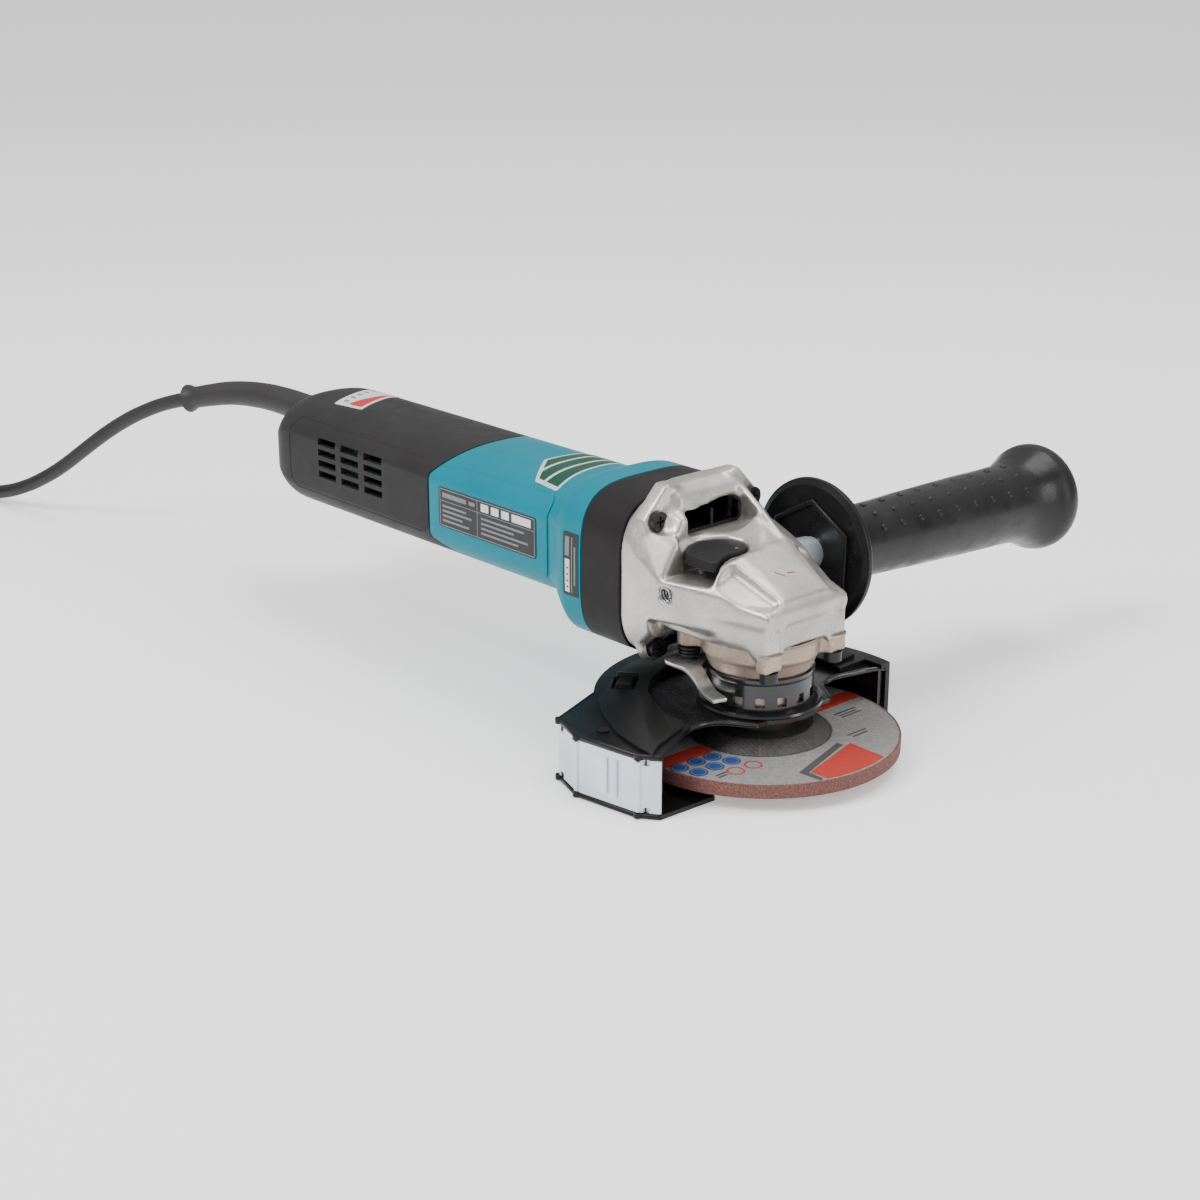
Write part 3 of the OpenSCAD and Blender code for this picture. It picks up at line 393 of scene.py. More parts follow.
def join(bm, other):
    """Adds another bmesh's geometry to bm and frees it."""
    mesh = bpy.data.meshes.new("scratch")
    other.to_mesh(mesh)
    other.free()
    bm.from_mesh(mesh)
    bpy.data.meshes.remove(mesh)


def merged(solids):
    bm = bmesh.new()
    for solid in solids:
        join(bm, solid)
    return bm


def hull_of(points):
    bm = bmesh.new()
    for p in points:
        bm.verts.new(p)
    made = bmesh.ops.convex_hull(bm, input=bm.verts)
    spare = {v for v in made["geom_interior"] + made["geom_unused"] if isinstance(v, bmesh.types.BMVert)}
    bmesh.ops.delete(bm, geom=list(spare), context="VERTS")
    return bm


def hull_mm(*points):
    return hull_of([pt(*p) for p in points])


def cut_with(ob, tool_bm):
    """Cuts a closed mesh out of a piece."""
    mesh = bpy.data.meshes.new("cutter")
    bmesh.ops.recalc_face_normals(tool_bm, faces=tool_bm.faces)
    tool_bm.to_mesh(mesh)
    tool_bm.free()
    tool = bpy.data.objects.new("cutter", mesh)
    bpy.context.scene.collection.objects.link(tool)
    m = ob.modifiers.new("cut", "BOOLEAN")
    m.operation = "DIFFERENCE"
    m.object = tool
    m.solver = "EXACT"
    apply(ob)
    bpy.data.objects.remove(tool)
    finish_mesh(ob, 35.0)


def fuse(ob, voxel):
    """Remeshes overlapping solids into one closed skin."""
    m = ob.modifiers.new("fuse", "REMESH")
    m.mode = "VOXEL"
    m.voxel_size = voxel * MM
    apply(ob)


def softened(name, node, extras, mat, voxel, rounds, body, cutters=()):
    """A piece made from a CAD node and extra solids, fused, cut and with softly rounded edges."""
    bm = bmesh.new()
    bm.from_mesh(NODES[node].data)
    bmesh.ops.remove_doubles(bm, verts=bm.verts, dist=1e-6)
    for e in extras:
        join(bm, e)
    ob = new_piece(name, bm, mat, body)
    fuse(ob, voxel)
    for c in cutters:
        cut_with(ob, c)
        fuse(ob, voxel)
    m = ob.modifiers.new("soft", "SMOOTH")
    m.factor = 0.5
    m.iterations = rounds
    apply(ob)
    for p in ob.data.polygons:
        p.use_smooth = True
    ob.data.materials.clear()
    ob.data.materials.append(mat)
    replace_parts(ob, node)
    return ob


def box_bm(a, b):
    """A box between two corners in mm."""
    bm = bmesh.new()
    bmesh.ops.create_cube(bm, size=1.0)
    lo, hi = pt(*a), pt(*b)
    for v in bm.verts:
        v.co = Vector([lo[i] + (v.co[i] + 0.5) * (hi[i] - lo[i]) for i in range(3)])
    return bm


def rod_bm(p, q, r, r2=None, sides=48):
    """A cylinder or cone between two points in mm."""
    a, b = pt(*p), pt(*q)
    d = (b - a).normalized()
    u = d.orthogonal().normalized()
    v = d.cross(u)
    bm = bmesh.new()
    rings_to_mesh(bm, [
        [c + (u * math.cos(t) + v * math.sin(t)) * rad * MM
         for t in around(sides)]
        for c, rad in ((a, r), (b, r if r2 is None else r2))])
    return bm


def tube_bm(points, radius, sides=12):
    """A tube along points in mm; radius is a number or one per point."""
    pts = [pt(*p) for p in points]
    bm = bmesh.new()
    rings = []
    side = None
    for i, p in enumerate(pts):
        t = (pts[min(i + 1, len(pts) - 1)] - pts[max(i - 1, 0)]).normalized()
        side = t.orthogonal() if side is None else side - t * side.dot(t)
        side.normalize()
        other = t.cross(side)
        r = (radius[i] if isinstance(radius, (list, tuple)) else radius) * MM
        rings.append([p + (side * math.cos(a) + other * math.sin(a)) * r
                      for a in around(sides)])
    rings_to_mesh(bm, rings)
    return bm


def smooth_path(points, per=6):
    """Catmull-Rom points through a path in mm."""
    out = []
    n = len(points)
    for i in range(n - 1):
        p0, p1, p2, p3 = (Vector(points[max(0, min(n - 1, i + k))]) for k in (-1, 0, 1, 2))
        for k in range(per):
            t = k / per
            out.append(tuple(0.5 * (2 * p1 + (p2 - p0) * t + (2 * p0 - 5 * p1 + 4 * p2 - p3) * t * t
                                    + (3 * p1 - p0 - 3 * p2 + p3) * t ** 3)))
    out.append(tuple(points[-1]))
    return out


def arc(r, a0, a1, count):
    return [(r * math.cos(math.radians(a0 + (a1 - a0) * k / count)),
             r * math.sin(math.radians(a0 + (a1 - a0) * k / count))) for k in range(count + 1)]


def lathe_bm(profile, place, sides=96, closed=False):
    """A turned shape: profile of (radius, height) in mm, place(u, v, w) to a row point."""
    bm = bmesh.new()
    rings_to_mesh(bm, [[place(r * math.cos(a), r * math.sin(a), w) for a in around(sides)]
                       for r, w in profile], closed=closed)
    return bm


def tree_of(ob):
    return BVHTree.FromObject(ob, bpy.context.evaluated_depsgraph_get())


def rounded(points, r, steps=5):
    """Plan outline with its corners rounded to radius r, in mm."""
    out = []
    n = len(points)
    for i in range(n):
        p0, p, p1 = (Vector(points[k % n]) for k in (i - 1, i, i + 1))
        a, b = (p0 - p), (p1 - p)
        half = a.angle(b) / 2
        cut = min(r / math.tan(half), a.length * 0.49, b.length * 0.49)
        a, b = a.normalized() * cut, b.normalized() * cut
        for k in range(steps + 1):
            t = k / steps
            out.append(tuple((p + a) * (1 - t) ** 2 + 2 * t * (1 - t) * p + (p + b) * t ** 2))
    return out


def drape(outline, tree, ray, height, sink, grid):
    """A thin closed plate laid on a surface: a plan outline in mm dropped along a ray, which is
    (origin(u, v), direction). Its top stands height mm off the surface, its back sinks into it."""
    place, direction = ray
    bm = bmesh.new()
    ring = [bm.verts.new((u, v, 0)) for u, v in outline]
    edges = [bm.edges.new((ring[i - 1], ring[i])) for i in range(len(ring))]
    bmesh.ops.triangle_fill(bm, use_beauty=True, edges=edges)
    us = [p[0] for p in outline]
    vs = [p[1] for p in outline]
    for axis, lo, hi in ((0, min(us), max(us)), (1, min(vs), max(vs))):
        k = math.ceil((hi - lo) / grid)
        for i in range(1, k):
            co = Vector((0, 0, 0))
            co[axis] = lo + (hi - lo) * i / k
            no = Vector((0, 0, 0))
            no[axis] = 1
            bmesh.ops.bisect_plane(bm, geom=bm.verts[:] + bm.edges[:] + bm.faces[:], plane_co=co, plane_no=no)
    base = {}
    for v in bm.verts:
        start = place(v.co.x, v.co.y)
        hit, normal, _, _ = tree.ray_cast(start, direction)
        if hit is None:
            hit, normal, _, _ = tree.find_nearest(start)
        base[v] = (hit, normal if normal.dot(direction) < 0 else -normal)
    for v, (hit, normal) in base.items():
        v.co = hit + normal * height * MM
    res = bmesh.ops.extrude_face_region(bm, geom=bm.faces[:])
    moved = [g for g in res["geom"] if isinstance(g, bmesh.types.BMVert)]
    bmesh.ops.translate(bm, verts=moved, vec=direction * (height + sink) * MM)
    return bm


def skin_plate(name, outline, target, ray, height, mat, grid=3.0, edge=0.0, sink=0.2):
    """A label or raised panel on the housing, with rounded edges if edge is more than 0."""
    ob = new_piece(name, drape(outline, tree_of(target), ray, height, sink, grid), mat, "housing", 50.0)
    if edge:
        bevel(ob, edge, 2, 60.0)
    return ob


def marks(name, target, ray, shapes, mat, height=0.1):
    """Small printed shapes on a surface, each (u0, v0, u1, v1) or an outline in mm."""
    tree = tree_of(target)
    bm = bmesh.new()
    for shape in shapes:
        if not hasattr(shape[0], "__len__"):
            u0, v0, u1, v1 = shape
            shape = [(u0, v0), (u1, v0), (u1, v1), (u0, v1)]
        join(bm, drape(shape, tree, ray, height, 0.15, 2.5))
    return new_piece(name, bm, mat, "housing", 30.0)


NEAR_RAY = (lambda x, z: pt(x, -90, z), Vector((0, 1, 0)))
FAR_RAY = (lambda x, z: pt(x, 90, z), Vector((0, -1, 0)))
TOP_RAY = (lambda x, y: pt(x, y, 150), Vector((0, 0, -1)))


# ---- Body: one smooth hand-held shell in two colours ----

GRIP = dict(w=34.4, h=29.0, z=67.5, bulge=2.1, n=2.55)
TAIL_END = dict(w=34.4, h=29.0, z=67.5, bulge=0.0, n=2.3)
FLANGE_END = dict(w=40.0, h=37.5, z=64.5, bulge=0.0, n=3.6)


def mix(a, b, t):
    return {k: a[k] * (1 - t) + b[k] * t for k in a}


def section(s, inset=0.0, count=176):
    """Ring of (y, z) points in mm: a superellipse whose sides are cut flat where it bulges."""
    out = []
    for i in range(count):
        t = 2 * math.pi * (i + 0.5) / count
        c, k = math.cos(t), math.sin(t)
        y = (s["w"] + s["bulge"] - inset) * math.copysign(abs(c) ** (2 / s["n"]), c)
        z = (s["h"] - inset) * math.copysign(abs(k) ** (2 / s["n"]), k)
        lim = s["w"] - inset
        out.append((max(-lim, min(lim, y)), s["z"] + z))
    return out


def split_at(z, gap=0.0):
    """Where the two body colours meet at height z."""
    path = [(20, -166), (40, -168), (51, -190), (83, -190), (98, -174), (115, -172)]
    for (z0, x0), (z1, x1) in zip(path, path[1:]):
        if z <= z1:
            return x0 + (x1 - x0) * max(0.0, (z - z0)) / (z1 - z0) + gap
    return path[-1][1] + gap


def smoothstep(t):
    t = max(0.0, min(1.0, t))
    return t * t * (3 - 2 * t)


def shell(name, stations, mat, replaced, thick=2.6):
    """A hollow body from stations: (x as a function of z, section, inset)."""
    bm = bmesh.new()
    outer = [[pt(x(z), y, z) for y, z in section(s, inset)] for x, s, inset in stations]
    inner = [[pt(x(z), y, z) for y, z in section(s, inset + thick)] for x, s, inset in stations]
    rings_to_mesh(bm, outer + inner[::-1], closed=True)
    ob = new_piece(name, bm, mat, "housing", 35.0)
    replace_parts(ob, *replaced)
    return ob


def at(x):
    return lambda z: x


front = [(lambda z: split_at(z, 0.35), GRIP, 0.5), (lambda z: split_at(z, 0.6), GRIP, 0.0)]
for k in range(1, 9):
    front.append((lambda z, k=k: split_at(z, 0.6) * (1 - k / 8) + -112 * k / 8, GRIP, 0.0))
for k in range(1, 25):
    x = -112 + 38.2 * k / 24
    t = smoothstep((x + 102) / 17)
    front.append((at(x), mix(GRIP, FLANGE_END, t), 0.0))
front.append((at(-73.6), FLANGE_END, 0.4))
teal_shell = shell("teal_shell", front, TEAL, ["motor_housing"])

back = []
for k in range(14):
    a = math.pi / 2 * (1 - k / 13)
    back.append((at(-332 + 24 * (1 - math.sin(a))), mix(TAIL_END, GRIP, k / 13), 17 * (1 - math.cos(a))))
for k in range(1, 15):
    back.append((lambda z, k=k: -308 * (1 - k / 14) + split_at(z, -0.25) * k / 14, GRIP, 0.0))
back.append((lambda z: split_at(z, 0.0), GRIP, 0.5))


def tail_shell():
    """The rear cover: closed round tail, vents through both sides, open at the front."""
    bm = bmesh.new()
    outer = [[pt(x(z), y, z) for y, z in section(s, inset)] for x, s, inset in back]
    inner = [[pt(x(z) + (2.6 if i < 13 else 0), y, z) for y, z in section(s, inset + 2.6)]
             for i, (x, s, inset) in enumerate(back)]
    rows = rings_to_mesh(bm, outer, cap=(True, False))
    rows_in = rings_to_mesh(bm, inner, cap=(True, False))
    n = len(rows[-1])
    for i in range(n):
        j = (i + 1) % n
        bm.faces.new((rows[-1][i], rows[-1][j], rows_in[-1][j], rows_in[-1][i]))
    ob = new_piece("tail_shell", bm, DARK, "housing", 35.0)
    cut = bmesh.new()
    for sy in (-1, 1):
        for i in range(3):
            for k in range(4):
                cx, cz = -274 + i * 19.5, 63.6 + k * 5.7
                x0 = cx - 7.4
                join(cut, box_bm((x0, sy * 34 - 9, cz - 1.7), (x0 + 14.8, sy * 34 + 9, cz + 1.7)))
    join(cut, rod_bm((-336, 0, 80), (-320, 0, 80), 7.6))
    join(cut, rod_bm((-336, 0, 54), (-326, 0, 54), 8.6))
    cut_with(ob, cut)
    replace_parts(ob, "rear_cover")
    return ob


tail = tail_shell()

# Ring between motor and gear head
bm = bmesh.new()
ring_stations = [(-73.4, 0.5), (-73.0, 0.0), (-48.4, 0.0), (-48.0, 0.5)]
outer = [[pt(x, y, z) for y, z in section(FLANGE_END, i)] for x, i in ring_stations]
inner = [[pt(x, y, z) for y, z in section(FLANGE_END, i + 3)] for x, i in ring_stations]
rings_to_mesh(bm, outer + inner[::-1], closed=True)
band = new_piece("dark_band", bm, BAND, "housing", 35.0)
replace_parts(band, "baffle_ring")

# ---- Gear housing ----


def slab(points, y0, y1):
    """A prism whose outline is in the XZ plane, in mm."""
    return prism(points, y0, y1, lambda u, v, w: pt(u, w, v))


def plan(points, z0, z1):
    return prism(points, z0, z1, lambda u, v, w: pt(u, v, w))


BUTTON_PLAN = [(-21, -27), (-24.6, -20), (-25.2, -13), (-22.6, -7), (-18.5, -2.8), (-13, -0.9), (-8.4, -1.8),
               (-5.4, -5.2), (-5, -9.4), (-6, -14), (-5.4, -19.6), (-2.6, -25.6)]


PIN = (-8.4, -7.9)


def circle(cx, cy, r, z, squash=1.0, count=28):
    return [pt(cx + r * math.cos(t), cy + r * squash * math.sin(t), z) for t in around(count)]


def grown(points, d):
    """Clockwise plan outline with each edge moved out by d mm."""
    out = []
    n = len(points)
    for i in range(n):
        p0, p, p1 = (Vector(points[k % n]) for k in (i - 1, i, i + 1))
        a, b = (p - p0).orthogonal().normalized(), (p1 - p).orthogonal().normalized()
        m = (a + b).normalized()
        out.append(tuple(p + m * (d / max(0.4, m.dot(a)))))
    return out


extras = [
    # Raised shoulder round the lock button's pin
    hull_of(circle(-8.5, -11, 17, 71.5) + circle(-9, -11, 13.4, 79.0) + circle(-9.5, -10.5, 11, 80.4)),
    # Raised pad on the nose, with a chamfered front
    hull_mm(
        (-2, -14.6, 83.9), (-2, 14.6, 83.9), (21.8, -12.6, 71.4), (21.8, 12.6, 71.4),
        (26.4, -9.6, 62.6), (26.4, 9.6, 62.6), (-4, -18.6, 79), (-4, 18.6, 79),
        (21.6, -17.2, 65.4), (21.6, 17.2, 65.4)),
    # Shelf round the nose
    hull_mm(
        (-22, -39.3, 60), (-22, 39.3, 60), (27.7, -24.9, 59.0), (27.7, 24.9, 59.0),
        (-22, -38.6, 68), (-22, 38.6, 68), (27.7, -24.6, 64.6), (27.7, 24.6, 64.6)),
    # Hood over the louver
    slab([(-47, 95.4), (-47, 106.9), (-39.4, 106.6), (-33.6, 102.8), (-32.0, 99.8), (-32.6, 95.4)],
         -18.8, 18.8),
    # Cheeks beside the louver: the near one stops above the button, the far one runs out to the nose
    hull_mm(
        (-41, -18.4, 107), (-41, -22.8, 105.4), (-34.2, -18.6, 100.6), (-34.2, -22.6, 97.8), (-28, -18.8, 91),
        (-27, -22.5, 88.5), (-26.5, -19, 84), (-26, -30, 80), (-40, -18.2, 80), (-40, -30, 84)),
    hull_mm(
        (-41, 18.4, 107), (-41, 22.8, 105.4), (-34.2, 18.6, 100.6), (-34.2, 22.6, 97.8), (-25, 18.8, 93),
        (-25, 21.4, 91), (-6, 16.5, 85.2), (-6, 18.6, 83.8), (6, 15, 79.5), (-40, 18.2, 80), (-6, 16, 74),
        (-40, 27, 80), (-6, 22, 74)),
]
for sy in (-1, 1):
    # Corner leg that wraps the top of the front ear
    extras.append(hull_mm(
        (26.9, sy * 13.4, 60), (26.9, sy * 24.3, 60), (12, sy * 28.6, 60), (26.9, sy * 14.8, 42.6),
        (26.9, sy * 24.0, 42.6), (20.5, sy * 25.8, 42.8), (18.4, sy * 20, 43.4), (13, sy * 28.0, 51),
        (22, sy * 12, 46.8)))
louver_hole = [(-18.1, 86.2), (18.1, 86.2), (18.1, 94.4), (16.6, 96.4), (13, 97.6), (6, 97.4), (-2, 96.2),
               (-10, 95.8), (-16.4, 95.8), (-18.1, 94.4)]
housing = softened("gear_case", "gear_housing", extras, CAST, 0.6, 5, "housing", cutters=[
    prism(louver_hole, -60, -27, lambda u, v, w: pt(w, u, v)),
    # Saddle behind and round the button, lower than the crest on the far side
    hull_mm(
        (-27, -27, 82.3), (-27, 2, 86.4), (-27, 13, 90.5), (-1, -27, 79.4), (-1, 2, 83.2), (-1, 12, 87),
        (-27, -27, 112), (-27, 13, 112), (-1, -27, 112), (-1, 12, 112)),
    # Steps beside the nose pad, and below the nose between the legs
    *[hull_of([pt(x, sy * y, z) for x, y, z in (
        (1, 19.4, 76.8), (25, 15.0, 66.0), (1, 40, 68.6), (28, 27, 65.4),
        (1, 19.4, 100), (25, 15.0, 100), (1, 40, 100), (28, 27, 100))]) for sy in (-1, 1)],
    box_bm((26.0, -13.2, 40), (30, 13.2, 57.6)),
    plan(grown(BUTTON_PLAN, 0.9), 74.4, 100),
    # Room for the button's front skirt when it is pressed, and the bore of its pin's spring
    plan([p for p in grown(BUTTON_PLAN, 0.9) if p[1] < -12], 71.4, 90),
    rod_bm((*PIN, 70), (*PIN, 80), 4.3),
    box_bm((-23, -50, 71.9), (-1.2, -26, 92)),
    rod_bm((-20.7, -50, 65.4), (-20.7, -25.5, 65.4), 3.5, sides=32),
])
softened("bearing_case", "bearing_box", [rod_bm((0, 0, 31.8), (0, 0, 39), 22.8, 25.6)], CAST_BOX, 0.6, 3,
         "housing", cutters=[box_bm((27.0, -40, 30), (40, 40, 52)), rod_bm((0, 0, 34), (0, 0, 52), 17.5)])

# Thread in the handle's second hole, and a dark shroud over the near lower screw's boss
bm = bmesh.new()
for k in range(6):
    join(bm, tube_bm([(-20.7 + 3.35 * math.cos(math.radians(a)), -38.6 + k * 1.7 + a * 0.0047,
                       65.4 + 3.35 * math.sin(math.radians(a))) for a in range(0, 361, 15)], 0.38, 6))
new_piece("hole_thread", bm, STEEL, "housing", 60.0)
shroud = [(-35.4, 40.6), (-29.5, 47.2), (-21.8, 47.0), (-18.4, 43.2), (-22.0, 29.6), (-33.0, 31.6)]
bm = prism(rounded(shroud, 2.5, 4), -41.6, -36.3, lambda u, v, w: pt(w, u, v))
bevel(new_piece("boss_shroud", bm, BLACK, "housing", 30.0), 0.6, 2, 50.0)


def lock_key():
    """The lock button: a curved top that falls away towards the near side, a skirt only at its front."""
    bm = bmesh.new()
    outline = rounded(BUTTON_PLAN, 3.0, 3)

    def top_z(x, y):
        return 83.4 + 0.06 * (-14 - x) - 0.0050 * max(0.0, -9 - y) ** 2 - 0.006 * max(0.0, y + 9) ** 2

    c = (-13.5, -14.0)
    rings = []
    for inset, drop in ((0.0, 7.2), (0.0, 1.1), (0.25, 0.45), (0.8, 0.1), (2.5, 0.0), (5.0, 0.0)):
        ring = []
        for x, y in outline:
            d = Vector((x - c[0], y - c[1]))
            q = Vector(c) + d * max(0.05, (d.length - inset) / d.length)
            base = top_z(x, y) if drop > 2 else top_z(*q)
            foot = 77.0 if y < -19 else 79.5
            ring.append(pt(q.x, q.y, foot if drop > 2 else base - drop))
        rings.append(ring)
    rings.append([pt(c[0] + (x - c[0]) * 0.25, c[1] + (y - c[1]) * 0.25,
                     top_z(c[0] + (x - c[0]) * 0.25, c[1] + (y - c[1]) * 0.25)) for x, y in outline])
    rings_to_mesh(bm, rings)
    join(bm, box_bm((-20.6, -25.4, 76.8), (-5.8, -20, 81)))
    on_top = lambda u, v, w: pt(PIN[0] + u, PIN[1] + v, top_z(*PIN) + w)
    join(bm, lathe_bm([(0.9, -0.4), (0.9, 0.16), (1.0, 0.28), (1.3, 0.28), (1.5, 0.1), (1.5, -0.4)],
                      on_top, 24, closed=True))
    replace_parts(new_piece("lock_key", bm, BUTTON, "shaft_lock", 60.0), "lock_button")
    new_piece("lock_pin_end", lathe_bm([(0.9, -0.4), (0.9, 0.08), (0.7, 0.14), (0.1, 0.14)], on_top, 24),
              CAST_BOX, "shaft_lock", 60.0)


lock_key()
# The spring below the button; on the real tool it shortens as the button goes down
coil = [(PIN[0] + 3.3 * math.cos(a), PIN[1] + 3.3 * math.sin(a), 74.5 + 4.6 * a / (8 * math.pi))
        for a in (math.radians(15 * k) for k in range(97))]
spring = new_piece("lock_coil", tube_bm(coil, 0.38, 8), STEEL, "housing", 60.0)
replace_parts(spring, "lock_spring")
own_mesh(spring)

# ---- Guard, cover and lever ----

for name in ("wheel_guard", "clip_on_cover", "cover_steel_plate"):
    m = NODES[name].modifiers.new("edges", "BEVEL")
    m.width = 0.45 * MM
    m.segments = 2
    m.limit_method = "ANGLE"
    m.angle_limit = math.radians(35)
    m.harden_normals = True

# Rolled lip along the guard's opening and round the foot of its collar
LIP = [(12.4, -69), (8, -61.7), (5.8, -52.4), (4, -43.4), (5.3, -36.1), (8.9, -30.9), (15, -26.8),
       (20.2, -23)]
bm = bmesh.new()
for sy in (1, -1):
    join(bm, tube_bm(smooth_path([(x, y * sy, 13.9) for x, y in LIP]), 1.1))
join(bm, lathe_bm([(25.6, 16.0), (26.6, 16.7), (27.6, 16.4), (28.0, 15.4), (27.4, 14.6), (25.6, 14.5)], pt,
                  closed=True))
join(bm, lathe_bm([(22.6, 31.0), (23.1, 31.7), (23.8, 31.2), (23.9, 29.6), (23.45, 28.6), (22.6, 28.6)], pt,
                  closed=True))
new_piece("guard_lips", bm, GUARD, "guard", 40.0)

# Raised band that runs round the cover's top, with the latch's slot cut in it
STRAP_IN = [(19.5, -82.6), (15.2, -76), (10.4, -63), (7.6, -54.6), (2.4, -49.7), (-8, -49.4), (-19.9, -44.6)]
STRAP_OUT = [(-50.5, -42.6), (-39.5, -59.8), (-25.5, -69.6), (-6, -79.2), (10.4, -83.0), (19.5, -83.4)]
strap_plan = STRAP_IN + arc(49.4, 228, 91, 34) + arc(65.5, 92, 217, 34) + STRAP_OUT
bm = plan(rounded(strap_plan, 1.6, 3), 16.2, 18.1)
strap = new_piece("cover_strap", bm, COVER, "guard", 30.0)


def turned(cx, cy, angle, outline, z0, z1):
    """An upright prism about a centre, turned in plan, in mm."""
    c, k = math.cos(math.radians(angle)), math.sin(math.radians(angle))
    return prism(outline, z0, z1, lambda u, v, w: pt(cx + u * c - v * k, cy + u * k + v * c, w))


def oblong(u0, u1, v0, v1):
    return [(u0, v0), (u1, v0), (u1, v1), (u0, v1)]


LATCH = (-45.5, -38.6, -50)
SLOT = [(-7, -5.4), (7, -5.4), (7, 5.4), (-7, 5.4), (-7, 3.7), (5.3, 3.7), (5.3, -3.7), (-7, -3.7)]


cut_with(strap, turned(*LATCH, SLOT, 16.9, 20))
bevel(strap, 0.6, 3, 40.0)
bm = turned(*LATCH, oblong(-8.5, 4.8, -3.2, 3.2), 16.4, 18.9)
join(bm, turned(*LATCH, oblong(-9.5, -6.5, -4.6, 4.6), 16.4, 20.1))
join(bm, turned(*LATCH, oblong(2.6, 5, -3.2, 3.2), 16.4, 19.8))
bevel(new_piece("cover_latch", bm, COVER, "guard", 30.0), 0.5, 2, 40.0)

# Rounded rims along the cover's box: top and bottom edges of its outer faces
bm = bmesh.new()
BOX_EDGE = [(-49.2, -53.6), (-37.7, -83.9), (-19.2, -90.3), (13.8, -85.8), (21.4, -80.2)]
for z in (15.6, -11.0):
    join(bm, tube_bm([(x, y, z) for x, y in BOX_EDGE], 1.25, 10))
for x, y in BOX_EDGE[1:4]:
    for z0, z1 in ((14.2, 16.4), (-11.8, -9.7)):
        join(bm, rod_bm((x, y, z0), (x, y, z1), 1.9, sides=16))
new_piece("cover_rims", bm, COVER, "guard", 40.0)

# Two pressed ribs and a folded edge on the steel plate
bm = bmesh.new()
for t in (0.50, 0.66):
    x, y = -19 + 33 * t, -91 + 4.6 * t - 0.15
    join(bm, rod_bm((x, y, -5.5), (x, y, 10.5), 0.75, sides=12))
for (x, y) in ((-19, -90.6), (14, -86.0)):
    join(bm, rod_bm((x, y, -9.0), (x, y, 13.4), 1.1, sides=16))
new_piece("plate_ribs", bm, ZINC, "guard", 60.0)

# Bent strip of the guard lever: flat under the leg, an S bend, then the nose
stations = [((-30.6, -28.4), (-30.6, -16.6), 32.0), ((-27.9, -30.8), (-27.9, -13.2), 32.0),
            ((-22.0, -31.2), (-19.4, -13.2), 32.0), ((-17.6, -30.2), (-14.4, -21.6), 31.4),
            ((-14.4, -29.3), (-11.8, -22.2), 29.4), ((-11.4, -29.0), (-9.2, -22.4), 26.6),
            ((-8.0, -29.6), (-6.2, -22.8), 24.5), ((-3.6, -31.2), (-2.2, -24.4), 23.6),
            ((2.6, -32.8), (4.2, -26.0), 23.3), ((4.4, -32.2), (6.2, -26.8), 23.3)]
left = smooth_path([(a[0], a[1], z) for a, b, z in stations], 5)
right = smooth_path([(b[0], b[1], z) for a, b, z in stations], 5)
bm = bmesh.new()
rings_to_mesh(bm, [[pt(*p), pt(*q), pt(q[0], q[1], q[2] - 1.7), pt(p[0], p[1], p[2] - 1.7)]
                   for p, q in zip(left, right)])
lever = bevel(new_piece("lever_strip", bm, PLATED, "lever", 25.0), 0.4, 2, 50.0)
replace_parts(lever, "guard_lever")

# ---- Wheel: printed areas, each a thin film on the top face ----

def film(name, outlines, mat, z=0.12, body="spindle_unit"):
    return new_piece(name, merged(plan(o, -0.1, z) for o in outlines), mat, body, 30.0)


def ring_bm(x, y, r, r_in, z=0.14):
    return lathe_bm([(r, -0.1), (r, z), (r_in, z), (r_in, -0.1)], lambda u, v, w: pt(x + u, y + v, w), 32,
                    closed=True)


def disc(x, y, r, count=32):
    return [(x + r * math.cos(a), y + r * math.sin(a)) for a in around(count)]


EDGE = 61.6
red_quad = [(48.3, -18.6)] + arc(EDGE - 1.2, -17.6, 16.2, 12) + [(38.4, 17.3)]
film("wheel_red", [
    [(-4, -33)] + [(-4, -EDGE), (5, -EDGE)] + [(5, -33)],
    [(-4, 33), (5, 33), (5, EDGE), (-4, EDGE)], red_quad], INK_RED)
film("wheel_grey", [[(45.4, -22.8), (57.2, -21.8), (56.0, -19.4), (48.0, -19.4), (37.6, 13.2), (34.5, 13.2)]],
     INK_GREY)
BLUE_DOTS = [(9.1, -37.8), (8.3, -46.8), (8.1, -56.6), (17.5, -34.8), (17.1, -44.3), (16.9, -53.7)]
film("wheel_blue", [disc(x, y, 4.1) for x, y in BLUE_DOTS], INK_BLUE)
new_piece("wheel_rings", merged(ring_bm(x, y, 4.0, 3.2) for x, y in ((26.7, -31.0), (26.3, -41.1))),
          INK_RED, "spindle_unit", 30.0)
new_piece("wheel_pale_rings", merged(ring_bm(x, y, 3.3, 2.9, 0.16) for x, y in BLUE_DOTS), GREY,
          "spindle_unit", 30.0)
film("wheel_bars", [
    oblong(x, x + w, y, y + h) for x, y, w, h in (
        (24.0, -51.0, 1.0, 6.0), (26.0, -51.5, 1.0, 5.0), (11.5, 36.0, 1.0, 14.0), (14.0, 37.0, 0.8, 11.0),
        (16.0, 36.5, 0.8, 12.5), (31.5, 22.5, 0.9, 12.0), (34.0, 23.5, 0.9, 9.5))], INK_GREY, 0.13)

# ---- Side handle ----

DROOP = math.radians(2)


def handle(u, v, w):
    """A point in the handle's own frame: w mm out from the housing, v down."""
    return pt(-20.7 + u, 40 - v * math.sin(DROOP) + w * math.cos(DROOP),
              65.4 - v * math.cos(DROOP) - w * math.sin(DROOP))


